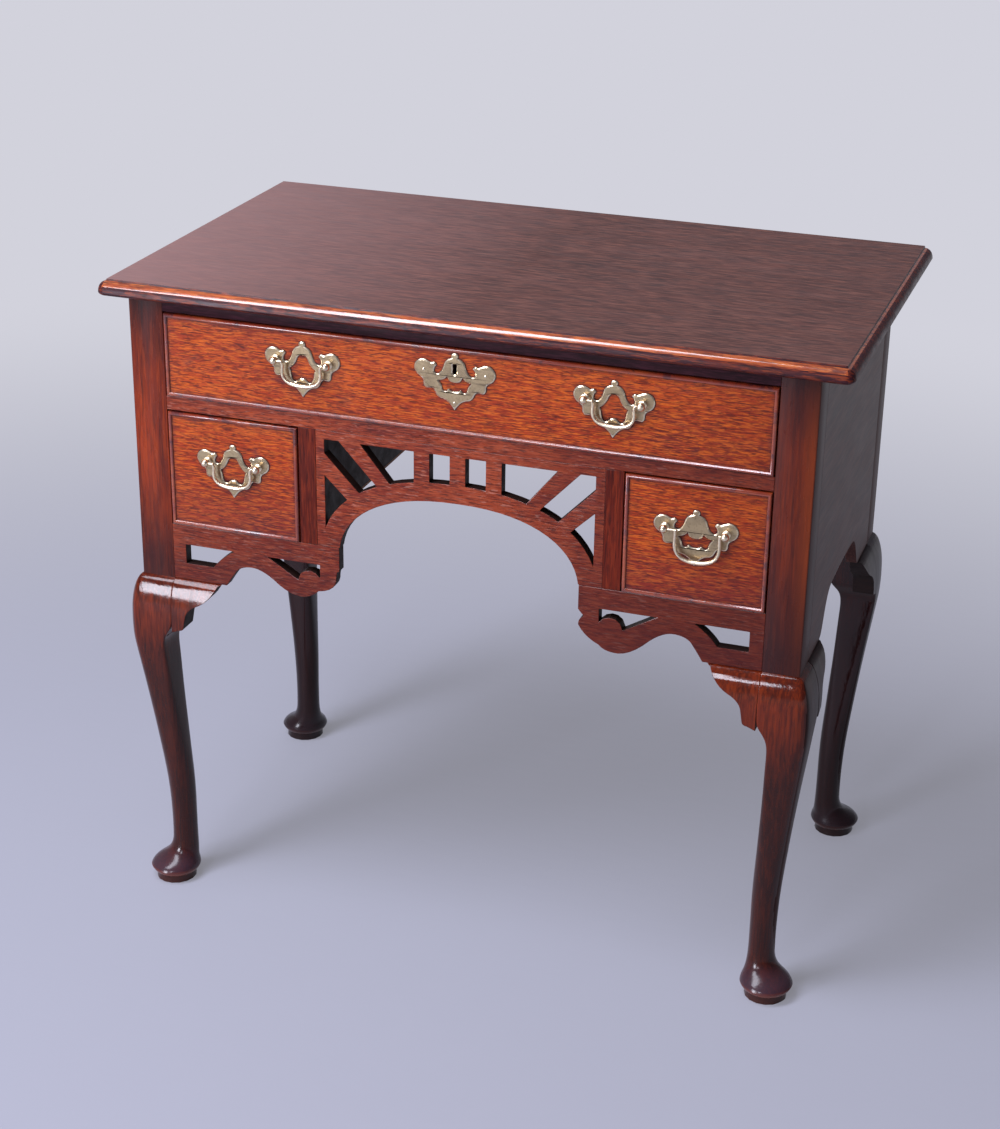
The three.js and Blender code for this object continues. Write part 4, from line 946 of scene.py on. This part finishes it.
# Half the bail right of its middle, in shares of its half width and of its drop
BAIL_SHARES = [(0.99, 0.12), (1, 0.4), (0.99, 0.53), (0.92, 0.7), (0.76, 0.85), (0.45, 0.96)]
BAIL_RADIUS, BAIL_END_RADIUS, BAIL_SIDE_GAP, ARM_SAG = 1.95, 1.5, 0.9, 0.6
PIN_RADIUS, PIN_SIDES = 1.0, 16
ROD_ROUNDNESS, ROD_STEPS = 4, 6


def add_handle_plate(node, handle):
    reach = handle["lobe_reach"]
    hole = mirrored(curved(handle["hole"], reach, TIP_DROP))
    posts = [(ball_profile(), POST_STEPS, side * handle["ball_spacing"] / 2, -BALL_DROP)
             for side in (-1, 1)]
    add_plate(node, f"{node}_cast", [plate_outline(reach), hole], posts)


def bail_line(arm_end, handle):
    """The rod's middle line, as (across, down, radius): thickest at the middle of the loop."""
    shift, half_width, drop = [handle[f"bail_{size}"] for size in ("shift", "half_width", "drop")]
    half_end = arm_end - shift
    right = [(half_end, 0, BAIL_END_RADIUS),
             ((half_end + half_width) / 2, ARM_SAG, BAIL_END_RADIUS)]
    right += [(across * half_width, down * drop,
               BAIL_END_RADIUS + (BAIL_RADIUS - BAIL_END_RADIUS) * down)
              for across, down in BAIL_SHARES]
    return ([(shift - across, down, radius) for across, down, radius in right]
            + [(shift, drop, BAIL_RADIUS)]
            + [(shift + across, down, radius) for across, down, radius in reversed(right)])


def add_bail(node, handle):
    """A bent rod between the balls, with a pin into each of them."""
    half_spacing = handle["ball_spacing"] / 2
    pin_end = half_spacing - BALL_RADIUS / 3
    arm_end = half_spacing - BALL_RADIUS - BAIL_SIDE_GAP
    left_arm_end = 2 * handle["bail_shift"] - arm_end
    line = bail_line(arm_end, handle)
    rod = bpy.data.curves.new(node, "CURVE")
    rod.dimensions = "3D"
    rod.bevel_depth = MM
    rod.bevel_resolution = ROD_ROUNDNESS
    rod.resolution_u = ROD_STEPS
    rod.use_fill_caps = True
    spline = rod.splines.new("BEZIER")
    spline.bezier_points.add(len(line) - 1)
    hinge = joint_place[node]
    for point, (across, down, radius) in zip(spline.bezier_points, line):
        point.co = hinge + Vector((across, 0, -down)) * MM
        point.radius = radius
        point.handle_left_type = point.handle_right_type = "AUTO"
    select_only(add_piece(node, rod))
    bpy.ops.object.convert(target="MESH")
    pieces = [bpy.context.object]
    for begin, end in ((-pin_end, left_arm_end + PIN_RADIUS), (arm_end - PIN_RADIUS, pin_end)):
        bpy.ops.mesh.primitive_cylinder_add(
            vertices=PIN_SIDES, radius=PIN_RADIUS * MM, depth=(end - begin) * MM,
            rotation=(0, pi / 2, 0), location=hinge + Vector(((begin + end) / 2 * MM, 0, 0)))
        pieces.append(bpy.context.object)
        bpy.ops.object.transform_apply()
    bail = join(pieces, f"{node}_rod")
    finish(bail, rubbed_brass)
    smooth(bail, BAIL_SMOOTHING)
    stands_for(bail, node)


for place, handle in (("long_drawer_left", USUAL_HANDLE), ("long_drawer_right", USUAL_HANDLE),
                      ("left_drawer", USUAL_HANDLE), ("right_drawer", WIDE_HANDLE)):
    add_handle_plate(f"{place}_backplate", handle)
    add_bail(f"{place}_bail", handle)

# Escutcheon: its pins' places, and a pin's round head as (radius, reach over the plate)
PIN_PLACES = [(-32, -1.3), (32, -1.3), (0, -32.3)]
PIN_HEAD = [(1.5, 0), (1.45, 0.3), (1.1, 0.65), (0.6, 0.85), (0, 0.9)]
PIN_SEAT, PIN_STEPS = PLATE_THICKNESS - 0.1, 16

pin_profile = [(0, PIN_SEAT), *[(radius, PIN_SEAT + reach) for radius, reach in PIN_HEAD]]
lens_hole = mirrored(curved(LENS_HOLE_SHARES, WIDE_LOBE_REACH, TIP_DROP))
add_plate("escutcheon", "escutcheon_plate",
          [plate_outline(WIDE_LOBE_REACH), lens_hole, keyhole_outline()],
          [(pin_profile, PIN_STEPS, across, up) for across, up in PIN_PLACES])
